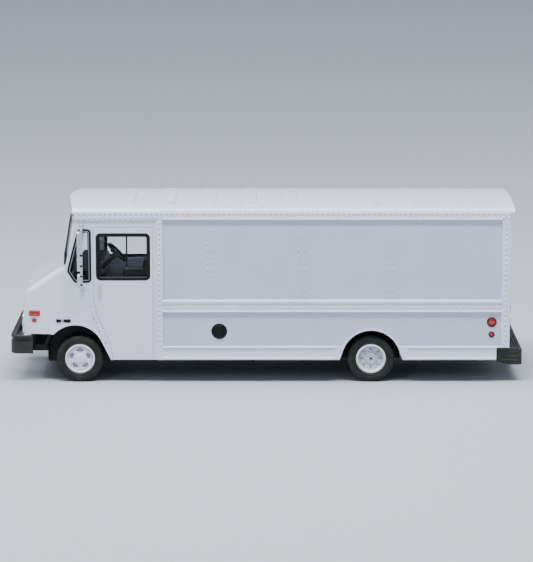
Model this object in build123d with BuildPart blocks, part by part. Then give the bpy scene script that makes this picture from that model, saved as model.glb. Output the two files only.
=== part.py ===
"""Die-cast model, to the scale of 1:64, of a walk-in mail delivery truck, in millimetres.

The frame is a car maker's body frame: X runs rearward, Y to the truck's right and Z up. The origin is on the
ground, midway between the bumper faces and between the sides. A cast body carries clear windows, a black cab
interior and small trim. Two screws hold a black base and an underframe, whose sleeves carry the steel axles.
"""

from build123d import *
import os
from math import cos, radians, sin, sqrt, tan

os.makedirs("parts", exist_ok=True)

# ---------------------------------------------------------------- driving dimensions
overall_length = 134.6  # over the bumpers
body_width = 37.0  # over the side rails
overall_height = 47.6  # ground to the crown of the roof's ribs
wheelbase = 76.6
front_overhang = 18.2  # front bumper's face to the front axle
tyre_diameter = 12.4

wall = 1.1  # casting
rail_relief = 0.35  # how far the rails stand out from the side panels
fit = 0.12  # gap round a moulding that drops into its place
seat_gap = 0.02  # gap of a piece pressed or glued into its seat
running_gap = 0.05  # radial gap of an axle in its sleeve
past = 1.0  # how far a cutting form runs past what it cuts

# Heights above the ground, and heights measured from each other.
sill_z = 6.1
skirt_height = 3.7
belt_bottom_z, belt_top_z = 18.9, 22.2
roof_rail_drop, roof_rail_height = 1.7, 2.6  # the rail's top below the crown, and its own height
roof_crown = 1.1
nose_rise = 6.7  # front axle to the nose's lower edge
nose_height = 11.2
screen_foot_z = 30.5

# Stations along the truck.
front_bumper_reach, rear_bumper_reach = 2.9, 3.5
nose_lean = 0.8  # how far the nose's top edge lies behind its lower edge
screen_setback = 5.2  # front axle to the windscreen's foot, measured forward
screen_rake, screen_sweep = 9.5, 5.5  # degrees: back from upright, and back towards each side
nose_taper = 1.1  # how much narrower each side of the nose is at its front
nose_tail = 0.4  # how far the nose runs on behind the windscreen's foot
nose_corner = 3.0
hood_edge = 1.5
roof_front_lip, roof_rear_lip, roof_lip_height = 0.7, 1.0, 2.4
eave_corner, inner_corner = 1.6, 0.5
rib_count, rib_pitch, rib_width, rib_height = 9, 10.7, 4.0, 0.3  # stiffening ribs across the roof
rib_end = 4.6  # from each side of the roof to the ribs' ends
post_width = 1.8
post_setback = 20.2  # front axle to the post behind the cab door
rear_post_width = 2.3
bumper_notch = 3.4  # length of the body's cut corner over the rear bumper
bumper_notch_z = 9.4

# Wheel arches.
front_arch_radius, rear_arch_radius = 7.6, 7.75
front_arch_forward, front_arch_rise = 1.1, 1.6  # its centre, from the axle
front_arch_flare = 26.5  # degrees: where the arch runs out straight to the sill
rear_arch_foot = 1.1
rear_arch_lean = 20.0  # degrees above the axle: where the arch runs out to the sill
arch_lip_width, arch_lip_height = 0.55, 0.25

# Wheels.
wheel_inset = 0.9  # tyre's outer face, in from the side rails
tyre_width = 3.4
dual_gap = 0.4
rim_diameter = 7.9
axle_diameter = 1.2

# Base and underframe.
base_thickness = 1.2
base_rise = 2.4  # axle to the base plate's underside
tunnel_wall = 0.8
tunnel_gap = 0.15  # how far the wheel tunnel hides behind the arch's edge
tyre_side_gap = 1.0
frame_rail_width, frame_rail_height = 1.4, 2.1
sleeve_wall = 0.75

# Screw posts.
front_post_setback, rear_post_setback = 31.0, 18.5  # each from the axle ahead of it
post_radius, post_taper = 2.0, 0.5
screw_radius, screw_length = 0.7, 5.0
screw_head_radius, screw_head_height = 1.6, 0.9

# Heights, widths and stations that follow.
axle_z = tyre_diameter / 2
half_width = body_width / 2
panel_y = half_width - rail_relief
inner_y = panel_y - wall
roof_z = overall_height - rib_height
rail_top_z = overall_height - roof_rail_drop
rail_bottom_z = rail_top_z - roof_rail_height
skirt_top_z = sill_z + skirt_height
front_x = -overall_length / 2
rear_x = overall_length / 2
front_axle_x = front_x + front_overhang
rear_axle_x = front_axle_x + wheelbase
nose_x = front_x + front_bumper_reach
back_x = rear_x - rear_bumper_reach
nose_bottom_z = axle_z + nose_rise
nose_top_z = nose_bottom_z + nose_height
screen_foot_x = front_axle_x - screen_setback
screen_top_x = screen_foot_x + (rail_top_z - screen_foot_z) * tan(radians(screen_rake))
screen_side_x = screen_foot_x + panel_y * tan(radians(screen_sweep))
post_front_x = front_axle_x + post_setback
post_rear_x = post_front_x + post_width
panel_end_x = back_x - rear_post_width
front_arch_x = front_axle_x - front_arch_forward
front_arch_z = axle_z + front_arch_rise
base_z = axle_z + base_rise
base_top_z = base_z + base_thickness
base_half_width = inner_y - fit
wheel_face_y = half_width - wheel_inset
dual_width = 2 * tyre_width + dual_gap
dual_inner_y = wheel_face_y - dual_width
frame_rail_y = dual_inner_y - 2.2  # each rail's outer face, clear of the inner rear tyres
sleeve_radius = axle_diameter / 2 + running_gap + sleeve_wall
front_post_x = front_axle_x + front_post_setback
rear_post_x = rear_axle_x + rear_post_setback

sides = ((-1, "left"), (1, "right"))


def save(piece, name):
    """Labels a finished piece and writes it as one STEP file."""
    piece.part.label = name
    export_step(piece.part, f"parts/{name}.step")


def side_plane(side, y):
    """Upright plane that far out on one side. Its own axes are X and Z, and outward is -side."""
    return Plane.XZ.offset(-side * y)


# ---------------------------------------------------------------- forms of the body
def screen_plane(side, inset=0.0):
    """Plane of one windscreen half, moved in by inset. Its own Y runs up the glass."""
    rake, sweep = radians(screen_rake), radians(screen_sweep)
    outboard = Vector(sin(sweep), side * cos(sweep), 0)
    normal = Vector(-cos(sweep), side * sin(sweep), cos(sweep) * tan(rake)).normalized()
    foot = Vector(screen_foot_x, 0, screen_foot_z) - normal * inset
    return Plane(origin=foot, x_dir=outboard * -side, z_dir=normal)


def crowned_bar(half, bottom, top, corner, start_x, end_x):
    """Bar along the truck, flat-sided, with a crowned top and rounded eaves."""
    with BuildPart() as bar:
        with BuildSketch(Plane.YZ.offset(start_x)) as section:
            with BuildLine():
                Polyline((half, top - roof_crown), (half, bottom), (-half, bottom), (-half, top - roof_crown))
                ThreePointArc((-half, top - roof_crown), (0, top), (half, top - roof_crown))
            make_face()
            fillet(section.vertices().group_by(Axis.Y)[-1], corner)
        extrude(amount=end_x - start_x)
    return bar.part


def box_form(inset):
    """Cab and load box, without the nose, moved in from the outside by inset."""
    if inset:
        half, bottom, corner = panel_y - inset, 0, inner_corner
    else:
        half, bottom, corner = half_width, sill_z, eave_corner
    with BuildPart() as form:
        add(crowned_bar(half, bottom, roof_z - inset, corner, nose_x, back_x - inset))
        for side, _ in sides:
            split(bisect_by=screen_plane(side, inset), keep=Keep.BOTTOM)
    return form.part


def nose_plane(inset=0.0):
    """Plane of the nose's front face. Its own X runs to the truck's left and its Y up the face."""
    face = Plane(origin=(nose_x, 0, nose_bottom_z), x_dir=(0, -1, 0), z_dir=(-nose_height, 0, nose_lean))
    return face.offset(-inset)


def nose_form(inset):
    """Nose and hood ahead of the windscreen, moved in from the outside by inset."""
    bottom = 0 if inset else nose_bottom_z
    tail_x = screen_side_x + nose_tail
    tail_half, tip_half = panel_y - inset, panel_y - nose_taper - inset
    slope = (screen_foot_z - nose_top_z) / (screen_foot_x - nose_x - nose_lean)
    hood = Plane(origin=(screen_foot_x, 0, screen_foot_z), x_dir=(0, -1, 0), z_dir=(-slope, 0, 1))
    with BuildPart() as form:
        with BuildSketch(Plane.XY.offset(bottom)):
            with BuildLine():
                Polyline(
                    (tail_x, tail_half), (nose_x - past, tip_half),
                    (nose_x - past, -tip_half), (tail_x, -tail_half),
                    close=True,
                )
            make_face()
        extrude(amount=roof_z - bottom)
        split(bisect_by=nose_plane(inset), keep=Keep.BOTTOM)
        split(bisect_by=hood.offset(-inset), keep=Keep.BOTTOM)
        upright = form.edges().filter_by(lambda edge: abs(edge.tangent_at(0.5).Z) > 0.9).group_by(Axis.X)[0]
        fillet(upright, nose_corner - inset)
        if not inset:
            crest = form.faces().sort_by(Axis.Z)[-1]
            fillet(crest.edges().filter_by(lambda edge: edge.center().X < tail_x - fit), hood_edge)
        split(bisect_by=Plane.XY.offset(screen_foot_z - inset), keep=Keep.BOTTOM)
    return form.part


def block(x_span, y_span, z_span, mode=Mode.ADD):
    """Adds or cuts a block between those limits in the part being built."""
    spans = (x_span, y_span, z_span)
    with Locations([tuple(sum(span) / 2 for span in spans)]):
        Box(*(span[1] - span[0] for span in spans), mode=mode)


def cross_rod(x, z, radius, y_span, mode=Mode.ADD):
    """Adds or cuts a rod that lies across the truck."""
    with Locations(Location((x, sum(y_span) / 2, z), (90, 0, 0))):
        Cylinder(radius, y_span[1] - y_span[0], mode=mode)


def long_rod(y, z, radius, x_span, mode=Mode.ADD):
    """Adds or cuts a rod that lies along the truck."""
    with Locations(Location((sum(x_span) / 2, y, z), (0, 90, 0))):
        Cylinder(radius, x_span[1] - x_span[0], mode=mode)


def post(x, y, radius, z_span, mode=Mode.ADD):
    """Adds or cuts an upright rod."""
    with Locations((x, y, sum(z_span) / 2)):
        Cylinder(radius, z_span[1] - z_span[0], mode=mode)


# ---------------------------------------------------------------- openings shared by the body and the glass
window_sill_z = belt_top_z + 5.1
window_top_z = rail_bottom_z - 3.5
door_window = (front_axle_x + 4.5, post_front_x - 1.5)  # front and rear edge
door_window_corner, quarter_window_corner, screen_corner = 1.2, 1.0, 1.2
quarter_window = (  # from the front axle, and from the door window's sill or top
    (-0.2, window_top_z + 1.1),
    (3.3, window_top_z + 1.1),
    (3.3, window_sill_z - 0.6),
    (-1.2, window_sill_z - 0.6),
    (-3.1, window_sill_z + 2.5),
)
screen_pane = (0.65, 0.8, panel_y - 1.3, 12.5)  # inner edge, foot, outer edge and head, on the screen's plane
glass_thickness = 0.8
glass_gap = 0.1  # round each pane, in its opening
glass_recess = 0.2
glass_bottom_z, glass_top_z = window_sill_z - 1.7, rail_bottom_z + 1.2
glass_rear_x = door_window[1] + 1.1


def side_panes(plane, shrink=0.0):
    """Outlines of the quarter window and the door window, on an upright plane."""
    with BuildSketch(plane) as outline:
        with BuildLine():
            Polyline([(front_axle_x + x, z) for x, z in quarter_window], close=True)
        make_face()
        fillet(outline.vertices(), quarter_window_corner)
        if shrink:
            offset(amount=-shrink, mode=Mode.REPLACE)
        with Locations((sum(door_window) / 2, (window_sill_z + window_top_z) / 2)):
            RectangleRounded(
                door_window[1] - door_window[0] - 2 * shrink,
                window_top_z - window_sill_z - 2 * shrink,
                door_window_corner,
            )
    return outline.sketch


def screen_outline(side, inset, shrink=0.0):
    """Outline of one windscreen pane on its own plane."""
    inner, foot, outer, head = screen_pane
    with BuildSketch(screen_plane(side, inset)) as outline:
        with Locations((-side * (inner + outer) / 2, (foot + head) / 2)):
            RectangleRounded(outer - inner - 2 * shrink, head - foot - 2 * shrink, screen_corner)
    return outline.sketch


# ---------------------------------------------------------------- seats of the trim
trim_depth = 0.4  # of each seat in the casting
trim_proud = 0.25
filler_x, filler_z, filler_radius = post_rear_x + 14.7, skirt_top_z + 3.95, 2.05
rear_lamps = ((panel_end_x - 2.4, belt_bottom_z - 2.7, 1.3), (panel_end_x - 2.4, belt_bottom_z - 6.0, 0.8))
reflector = (nose_x + 3.3, nose_bottom_z + 3.7, 0.62)
marker_round = 0.15
marker = (nose_x + 3.45, nose_bottom_z + 5.5, 2.9, 1.4)
latch = (front_axle_x - 4.2, nose_bottom_z + 3.6, 3.8, 0.8)
grille_width, grille_height, grille_foot = 16.2, 7.7, 1.4
grille_depth = 0.7
headlamp_y, headlamp_rise, headlamp_radius = 12.2, 2.9, 2.1
turn_lamp_rise, turn_lamp_radius = 7.6, 1.55
roof_lamps = (-15.0, -2.4, 0.0, 2.4, 15.0)
roof_lamp_size = (1.5, 0.8)
roof_lamp_z = rail_bottom_z + 0.8
tail_lamp_y = half_width - 1.9
tail_lamps = (13.4, 16.4, 19.4)  # heights of the reversing, turn and stop lamps
tail_lamp_radius = 1.15
door_width, door_foot_z, door_head_z = 30.0, 11.0, rail_bottom_z - 1.0
door_relief = 0.35
slat_count = 8


def rear_plane(inset=0.0):
    """Plane of the back wall. Its own X runs to the truck's right and its Y up."""
    return Plane.YZ.offset(back_x - inset)


def arch_outline(grow=0.0, foot_z=sill_z):
    """Both wheel arches as one sketch from the side, grown all round and run down to foot_z."""
    flare = radians(front_arch_flare)
    front_r, rear_r = front_arch_radius + grow, rear_arch_radius + grow
    corner_x, corner_z = front_arch_x + front_r * cos(flare), front_arch_z + front_r * sin(flare)
    foot_x = corner_x + (corner_z - foot_z) * tan(flare)
    lean = radians(rear_arch_lean)
    lean_x, lean_z = rear_r * cos(lean), axle_z + rear_r * sin(lean)
    with BuildSketch(Plane.XZ) as outline:
        with Locations((front_arch_x, front_arch_z)):
            Circle(front_r)
        with BuildLine():
            Polyline(
                (front_arch_x, front_arch_z), (corner_x, corner_z), (foot_x, foot_z), (front_arch_x, foot_z),
                close=True,
            )
        make_face()
        with Locations((rear_axle_x, axle_z)):
            Circle(rear_r)
        with BuildLine():
            Polyline(
                (rear_axle_x - lean_x, lean_z), (rear_axle_x + lean_x, lean_z),
                (rear_axle_x + rear_r + rear_arch_foot / 2, foot_z),
                (rear_axle_x - rear_r - rear_arch_foot / 2, foot_z),
                close=True,
            )
        make_face()
    return outline.sketch


def header_lamps(side, grow=0.0, inset=0.0):
    """Outlines of two marker lamps on one half of the windscreen's header."""
    rise = (roof_lamp_z - screen_foot_z) / cos(radians(screen_rake))
    with BuildSketch(screen_plane(side, inset)) as outline:
        with Locations(*[(-side * y, rise) for y in roof_lamps if y > 0]):
            Rectangle(roof_lamp_size[0] + 2 * grow, roof_lamp_size[1] + 2 * grow)
    return outline.sketch


def ridge_lamp(grow, floor, proud, mode=Mode.ADD):
    """Adds or cuts the marker lamp on the header's centre, from its seat's floor to its face."""
    ridge_x = screen_foot_x + (roof_lamp_z - screen_foot_z) * tan(radians(screen_rake))
    width, height = roof_lamp_size[0] / 2 + grow, roof_lamp_size[1] / 2 + grow
    block((ridge_x - proud, ridge_x + floor), (-width, width), (roof_lamp_z - height, roof_lamp_z + height), mode)


def nose_side_plane(side):
    """Plane of one drawn-in side of the nose. Its own X is the station along the truck and its Y is up."""
    tail_x = screen_side_x + nose_tail
    taper = (tail_x - nose_x + 1, nose_taper)
    length = sqrt(taper[0] ** 2 + taper[1] ** 2)
    along = Vector(taper[0] / length, side * taper[1] / length, 0)
    outward = Vector(-taper[1] / length, side * taper[0] / length, 0)
    origin = Vector(tail_x, side * panel_y, 0) - along * tail_x
    return Plane(origin=origin, x_dir=along, z_dir=outward * -side)


# ---------------------------------------------------------------- cast body
door_front_edge = ((4.0, window_sill_z - 1.7), (4.3, 19.7), (6.5, 13.8), (8.9, sill_z))
seam_width, seam_depth = 0.22, 0.15


def door_seam(side):
    """Groove round the cab door, from the sill up its front edge, over the window and down."""
    with BuildSketch(side_plane(side, panel_y)) as seam:
        with BuildLine():
            edge = [(front_axle_x + x, z) for x, z in door_front_edge]
            Spline(*edge)
            Polyline(
                edge[0],
                (door_window[0] - 0.6, window_sill_z + 0.6),
                (door_window[0] - 0.6, window_top_z + 1.6),
                (door_window[1] + 0.7, window_top_z + 1.6),
                (door_window[1] + 0.7, sill_z),
            )
        trace(line_width=seam_width)
    return seam.sketch


def roof_cap():
    """Roof panel, whose front edge shades the windscreen and whose rear edge covers the door's head."""
    with BuildPart() as cap:
        add(crowned_bar(half_width, sill_z, roof_z, eave_corner, nose_x, back_x + roof_rear_lip))
        split(bisect_by=Plane.XY.offset(overall_height - roof_lip_height), keep=Keep.TOP)
        for side, _ in sides:
            sweep = radians(screen_sweep)
            front = Plane(
                origin=(screen_top_x - roof_front_lip, 0, 0), z_dir=(-cos(sweep), side * sin(sweep), 0)
            )
            split(bisect_by=front, keep=Keep.BOTTOM)
    return cap.part


def roof_ribs():
    """Low ribs across the roof panel, with rounded ends, which follow its crown."""
    middle_x = (screen_top_x + back_x) / 2
    with BuildPart() as ribs:
        with BuildSketch(Plane.XY.offset(rail_top_z)):
            with Locations((middle_x, 0)):
                with GridLocations(rib_pitch, 0, rib_count, 1):
                    SlotOverall(2 * (half_width - rib_end), rib_width, rotation=90)
        extrude(amount=overall_height - rail_top_z)
        add(crowned_bar(half_width, sill_z, overall_height, eave_corner, nose_x, back_x), mode=Mode.INTERSECT)
    return ribs.part


with BuildPart() as body_shell:
    add(box_form(0))
    for side, _ in sides:
        outer, inner = side * (half_width + past), side * panel_y
        recess_y = (min(outer, inner), max(outer, inner))
        block((nose_x - past, post_front_x), recess_y, (0, rail_bottom_z), mode=Mode.SUBTRACT)
        block((post_rear_x, panel_end_x), recess_y, (belt_top_z, rail_bottom_z), mode=Mode.SUBTRACT)
        block((post_rear_x, panel_end_x), recess_y, (skirt_top_z, belt_bottom_z), mode=Mode.SUBTRACT)
    add(nose_form(0))
    add(roof_cap())
    add(roof_ribs())
    extrude(arch_outline(arch_lip_width), amount=panel_y + arch_lip_height, both=True)
    add(box_form(wall), mode=Mode.SUBTRACT)
    add(nose_form(wall), mode=Mode.SUBTRACT)
    extrude(arch_outline(), amount=half_width + past, both=True, mode=Mode.SUBTRACT)
    block((nose_x - past, front_arch_x), (-half_width, half_width), (0, nose_bottom_z), mode=Mode.SUBTRACT)
    block((nose_x - past, rear_x), (-half_width, half_width), (-sill_z, sill_z), mode=Mode.SUBTRACT)
    block((back_x - bumper_notch, rear_x), (-half_width, half_width), (0, bumper_notch_z), mode=Mode.SUBTRACT)
    for side, _ in sides:
        extrude(side_panes(side_plane(side, inner_y - wall)), amount=-side * 3 * wall, mode=Mode.SUBTRACT)
        extrude(screen_outline(side, -wall), amount=-3 * wall, mode=Mode.SUBTRACT)
    for side, _ in sides:
        with BuildSketch(side_plane(side, panel_y)):
            for x, z, radius in rear_lamps:
                with Locations((x, z)):
                    Circle(radius + seat_gap)
        extrude(amount=side * trim_depth, mode=Mode.SUBTRACT)
        with BuildSketch(nose_side_plane(side).offset(-side * past)):
            for x, z, length, height in (marker, latch):
                with Locations((x, z)):
                    Rectangle(length + 2 * seat_gap, height + 2 * seat_gap)
            with Locations(reflector[:2]):
                Circle(reflector[2] + seat_gap)
        extrude(amount=side * (past + trim_depth), mode=Mode.SUBTRACT)
        extrude(header_lamps(side, seat_gap), amount=-trim_depth, mode=Mode.SUBTRACT)
        extrude(door_seam(side), amount=side * seam_depth, mode=Mode.SUBTRACT)
    with BuildSketch(side_plane(-1, panel_y)):
        with Locations((filler_x, filler_z)):
            Circle(filler_radius + seat_gap)
    extrude(amount=-trim_depth, mode=Mode.SUBTRACT)
    with BuildSketch(nose_plane()):
        with Locations((0, grille_foot + grille_height / 2)):
            Rectangle(grille_width + 2 * seat_gap, grille_height + 2 * seat_gap)
        for side, _ in sides:
            with Locations((side * headlamp_y, headlamp_rise)):
                Circle(headlamp_radius + seat_gap)
            with Locations((side * headlamp_y, turn_lamp_rise)):
                Circle(turn_lamp_radius + seat_gap)
    extrude(amount=-grille_depth, mode=Mode.SUBTRACT)
    ridge_lamp(seat_gap, trim_depth, past, mode=Mode.SUBTRACT)
    with BuildSketch(rear_plane()):
        with Locations((0, (door_foot_z + door_head_z) / 2)):
            Rectangle(door_width, door_head_z - door_foot_z)
    extrude(amount=-door_relief, mode=Mode.SUBTRACT)
    slat = (door_head_z - door_foot_z) / slat_count
    for row in range(1, slat_count):
        groove_z = door_foot_z + row * slat
        block((back_x - door_relief - seam_depth, back_x), (-door_width / 2, door_width / 2),
              (groove_z - seam_width / 2, groove_z + seam_width / 2), mode=Mode.SUBTRACT)
    with BuildSketch(rear_plane()):
        for side, _ in sides:
            with Locations(*[(side * tail_lamp_y, z) for z in tail_lamps]):
                Circle(tail_lamp_radius + seat_gap)
        with Locations(*[(y, roof_lamp_z) for y in roof_lamps]):
            Rectangle(roof_lamp_size[0] + 2 * seat_gap, roof_lamp_size[1] + 2 * seat_gap)
    extrude(amount=-trim_depth, mode=Mode.SUBTRACT)
    for x in (front_post_x, rear_post_x):
        with BuildSketch(Plane.XY.offset(base_top_z + seat_gap)):
            with Locations((x, 0)):
                Circle(post_radius)
        extrude(amount=roof_z - wall - base_top_z, taper=-post_taper)
        post(x, 0, screw_radius + seat_gap, (0, base_top_z + screw_length), mode=Mode.SUBTRACT)
save(body_shell, "body_shell")

# ---------------------------------------------------------------- clear windows
with BuildPart() as glazing:
    add(box_form(wall + fit))
    add(box_form(wall + fit + glass_thickness), mode=Mode.SUBTRACT)
    split(bisect_by=Plane.XY.offset(glass_bottom_z), keep=Keep.TOP)
    split(bisect_by=Plane.XY.offset(glass_top_z), keep=Keep.BOTTOM)
    split(bisect_by=Plane.YZ.offset(glass_rear_x), keep=Keep.BOTTOM)
    for side, _ in sides:
        root_y = inner_y - fit - glass_thickness / 2
        extrude(
            side_panes(side_plane(side, root_y), glass_gap), amount=-side * (panel_y - glass_recess - root_y)
        )
        root = wall + fit + glass_thickness / 2
        extrude(screen_outline(side, root, glass_gap), amount=root - glass_recess)
save(glazing, "glazing")

# ---------------------------------------------------------------- room inside the casting
with BuildPart() as room:
    add(box_form(wall + fit))
    add(nose_form(wall + fit))
cavity = room.part

# ---------------------------------------------------------------- black cab interior
floor_top_z = 17.8
floor_thickness = 0.8
floor_front = 2.5  # from the front arch's foremost point back to the floor's edge
dash_rear_x, dash_top_z = front_axle_x + 6.1, screen_foot_z - 0.9
dash_length, dash_height, dash_round = 7.0, 6.5, 1.0
dash_front_x = dash_rear_x - dash_length
firewall_setback = 2.5  # the dash's overhang
lap = 0.5  # how deep one moulded form runs into the next
cover_x, cover_y, cover_drop = (-3.0, 5.5), (-2.8, 5.2), 4.5  # engine cover: from the dash's rear and top
binnacle_x, binnacle_z = (-1.0, 0.8), (-5.0, -0.8)  # instrument binnacle: from the dash's rear and top
binnacle_width = 7.6
bulkhead_setback = 0.4  # behind the post's front edge
bulkhead_thickness = 0.9
bulkhead_top_z = glass_bottom_z + 0.2
cab_half_width = inner_y - fit - glass_thickness - fit
seat_y, seat_width = -8.5, 7.4
seat_x = (front_axle_x + 11.0, front_axle_x + 18.3)
seat_foot_z = floor_top_z + seat_gap
seat_cushion_z = (seat_foot_z + 2.2, seat_foot_z + 4.6)
seat_back_thickness, seat_back_top_z = 1.9, window_sill_z + 4.4
seat_edge = 0.6
seat_pedestal_inset, seat_pedestal_width = 1.5, 4.0
wheel_centre = (front_axle_x + 9.6, seat_y - 0.5, dash_top_z + 3.7)
steering_tilt = 45.0  # degrees: the column from level
rim_radius, rim_thickness = 3.4, 0.36
column_radius, column_length = 0.7, 4.6
wheel_boss_radius, wheel_boss_depth = 0.95, 0.9
spoke_count, spoke_width, spoke_thickness = 3, 0.6, 0.4


def steering_plane(back=0.0):
    """Plane of the steering wheel's rim, moved down the column by back."""
    tilt = radians(steering_tilt)
    up_column = Vector(cos(tilt), 0, sin(tilt))
    return Plane(origin=Vector(*wheel_centre) - up_column * back, x_dir=(0, -1, 0), z_dir=up_column)


with BuildPart() as interior_tub:
    bulkhead_x = (post_front_x + bulkhead_setback, post_front_x + bulkhead_setback + bulkhead_thickness)
    block((front_arch_x - front_arch_radius + floor_front, bulkhead_x[1]), (-base_half_width, base_half_width),
          (floor_top_z - floor_thickness, floor_top_z))
    block(bulkhead_x, (-base_half_width, base_half_width), (base_top_z + seat_gap, floor_top_z))
    block(bulkhead_x, (-cab_half_width, cab_half_width), (floor_top_z, bulkhead_top_z))
    block((dash_front_x, dash_rear_x), (-cab_half_width, cab_half_width), (dash_top_z - dash_height, dash_top_z))
    fillet(interior_tub.edges().filter_by(Axis.Y).group_by(Axis.Z)[-1].sort_by(Axis.X)[-1], dash_round)
    block((dash_front_x, dash_rear_x - firewall_setback), (-cab_half_width, cab_half_width),
          (floor_top_z, dash_top_z - dash_height + lap))
    block((dash_rear_x + cover_x[0], dash_rear_x + cover_x[1]), cover_y, (floor_top_z, dash_top_z - cover_drop))
    block((dash_rear_x + binnacle_x[0], dash_rear_x + binnacle_x[1]),
          (wheel_centre[1] - binnacle_width / 2, wheel_centre[1] + binnacle_width / 2),
          (dash_top_z + binnacle_z[0], dash_top_z + binnacle_z[1]))
    with BuildSketch(steering_plane(wheel_boss_depth + seat_gap)):
        Circle(column_radius)
    extrude(amount=-column_length)
    add(cavity, mode=Mode.INTERSECT)
save(interior_tub, "interior_tub")

with BuildPart() as steering_wheel:
    with BuildSketch(Plane(origin=wheel_centre, x_dir=steering_plane().z_dir, z_dir=(0, 1, 0))):
        with Locations((0, rim_radius - rim_thickness)):
            Circle(rim_thickness)
    revolve(axis=Axis(wheel_centre, steering_plane().z_dir))
    with BuildSketch(steering_plane(wheel_boss_depth)):
        Circle(wheel_boss_radius)
    extrude(amount=wheel_boss_depth)
    spoke_length = rim_radius - rim_thickness
    with BuildSketch(steering_plane((wheel_boss_depth + spoke_thickness) / 2)):
        with PolarLocations(spoke_length / 2, spoke_count, start_angle=90):
            Rectangle(spoke_length, spoke_width)
    extrude(amount=spoke_thickness)
save(steering_wheel, "steering_wheel")

with BuildPart() as driver_seat:
    half_seat = seat_width / 2
    block(seat_x, (seat_y - half_seat, seat_y + half_seat), seat_cushion_z)
    block((seat_x[1] - seat_back_thickness, seat_x[1]), (seat_y - half_seat, seat_y + half_seat),
          (seat_cushion_z[0], seat_back_top_z))
    fillet(driver_seat.edges().filter_by(Axis.Y), seat_edge)
    half_pedestal = seat_pedestal_width / 2
    block((seat_x[0] + seat_pedestal_inset, seat_x[1] - seat_pedestal_inset),
          (seat_y - half_pedestal, seat_y + half_pedestal), (seat_foot_z, seat_cushion_z[0] + lap))
save(driver_seat, "driver_seat")

# ---------------------------------------------------------------- base and underframe
base_front_x = nose_x + wall + fit
base_rear_x = back_x - bumper_notch + fit
front_tunnel_y = wheel_face_y - tyre_width - tyre_side_gap
rear_tunnel_y = dual_inner_y - tyre_side_gap / 2
tunnels = (
    (front_arch_x, front_arch_z, front_arch_radius + tunnel_gap, front_tunnel_y),
    (rear_axle_x, axle_z, rear_arch_radius + tunnel_gap, rear_tunnel_y),
)

with BuildPart() as chassis_base:
    block((base_front_x, base_rear_x), (-base_half_width, base_half_width), (base_z, base_top_z))
    for x, z, radius, tunnel_y in tunnels:
        for side, _ in sides:
            shell = sorted((side * base_half_width, side * (tunnel_y - tunnel_wall)))
            cross_rod(x, z, radius + tunnel_wall, shell)
    block((base_front_x - past, base_rear_x + past), (-half_width, half_width), (-base_z, base_z), mode=Mode.SUBTRACT)
    for x, z, radius, tunnel_y in tunnels:
        for side, _ in sides:
            hollow = sorted((side * half_width, side * tunnel_y))
            cross_rod(x, z, radius, hollow, mode=Mode.SUBTRACT)
            block((x - radius, x + radius), hollow, (0, z), mode=Mode.SUBTRACT)
    for x in (front_post_x, rear_post_x):
        post(x, 0, screw_radius + fit, (base_z - past, base_top_z + past), mode=Mode.SUBTRACT)
    add(cavity, mode=Mode.INTERSECT)
save(chassis_base, "chassis_base")

frame_top_z = base_z - seat_gap
frame_bottom_z = frame_top_z - frame_rail_height
frame_front_x, frame_rear_x = base_front_x + 0.5, base_rear_x - 0.5
beam_half, housing_half = front_tunnel_y - 0.6, rear_tunnel_y - 0.4
housing_radius, differential_radius, differential_drop = sleeve_radius + 0.2, 2.3, 3.0
spring_half_length, spring_thickness, spring_z = 8.0, 0.9, axle_z - 1.3
saddle_width, hanger_width = 3.2, 1.2
cross_member_x = (base_front_x + 2, post_front_x + 7.9, rear_axle_x - 13, rear_axle_x + 12)
cross_member_width, cross_member_lift = 2.0, 0.3
gearbox_x, gearbox_half_width = (front_axle_x + 9.0, front_axle_x + 26.0), 3.0
shaft_radius = 0.8
pad_x, pad_half_width, pad_z = (-14.0, 10.0), 6.0, 5.0
tank_x, tank_corner = (post_rear_x + 8, post_rear_x + 24), 0.8
muffler_x, muffler_radius = (post_rear_x + 14, post_rear_x + 30), 1.5
muffler_y, muffler_z = frame_rail_y + 3.0, frame_bottom_z + 0.6
tailpipe_x, tailpipe_radius = (post_rear_x + 4, rear_axle_x - 11), 0.7
hanger_plate_x = (muffler_x[0] - 4, muffler_x[1] + 4)

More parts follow.
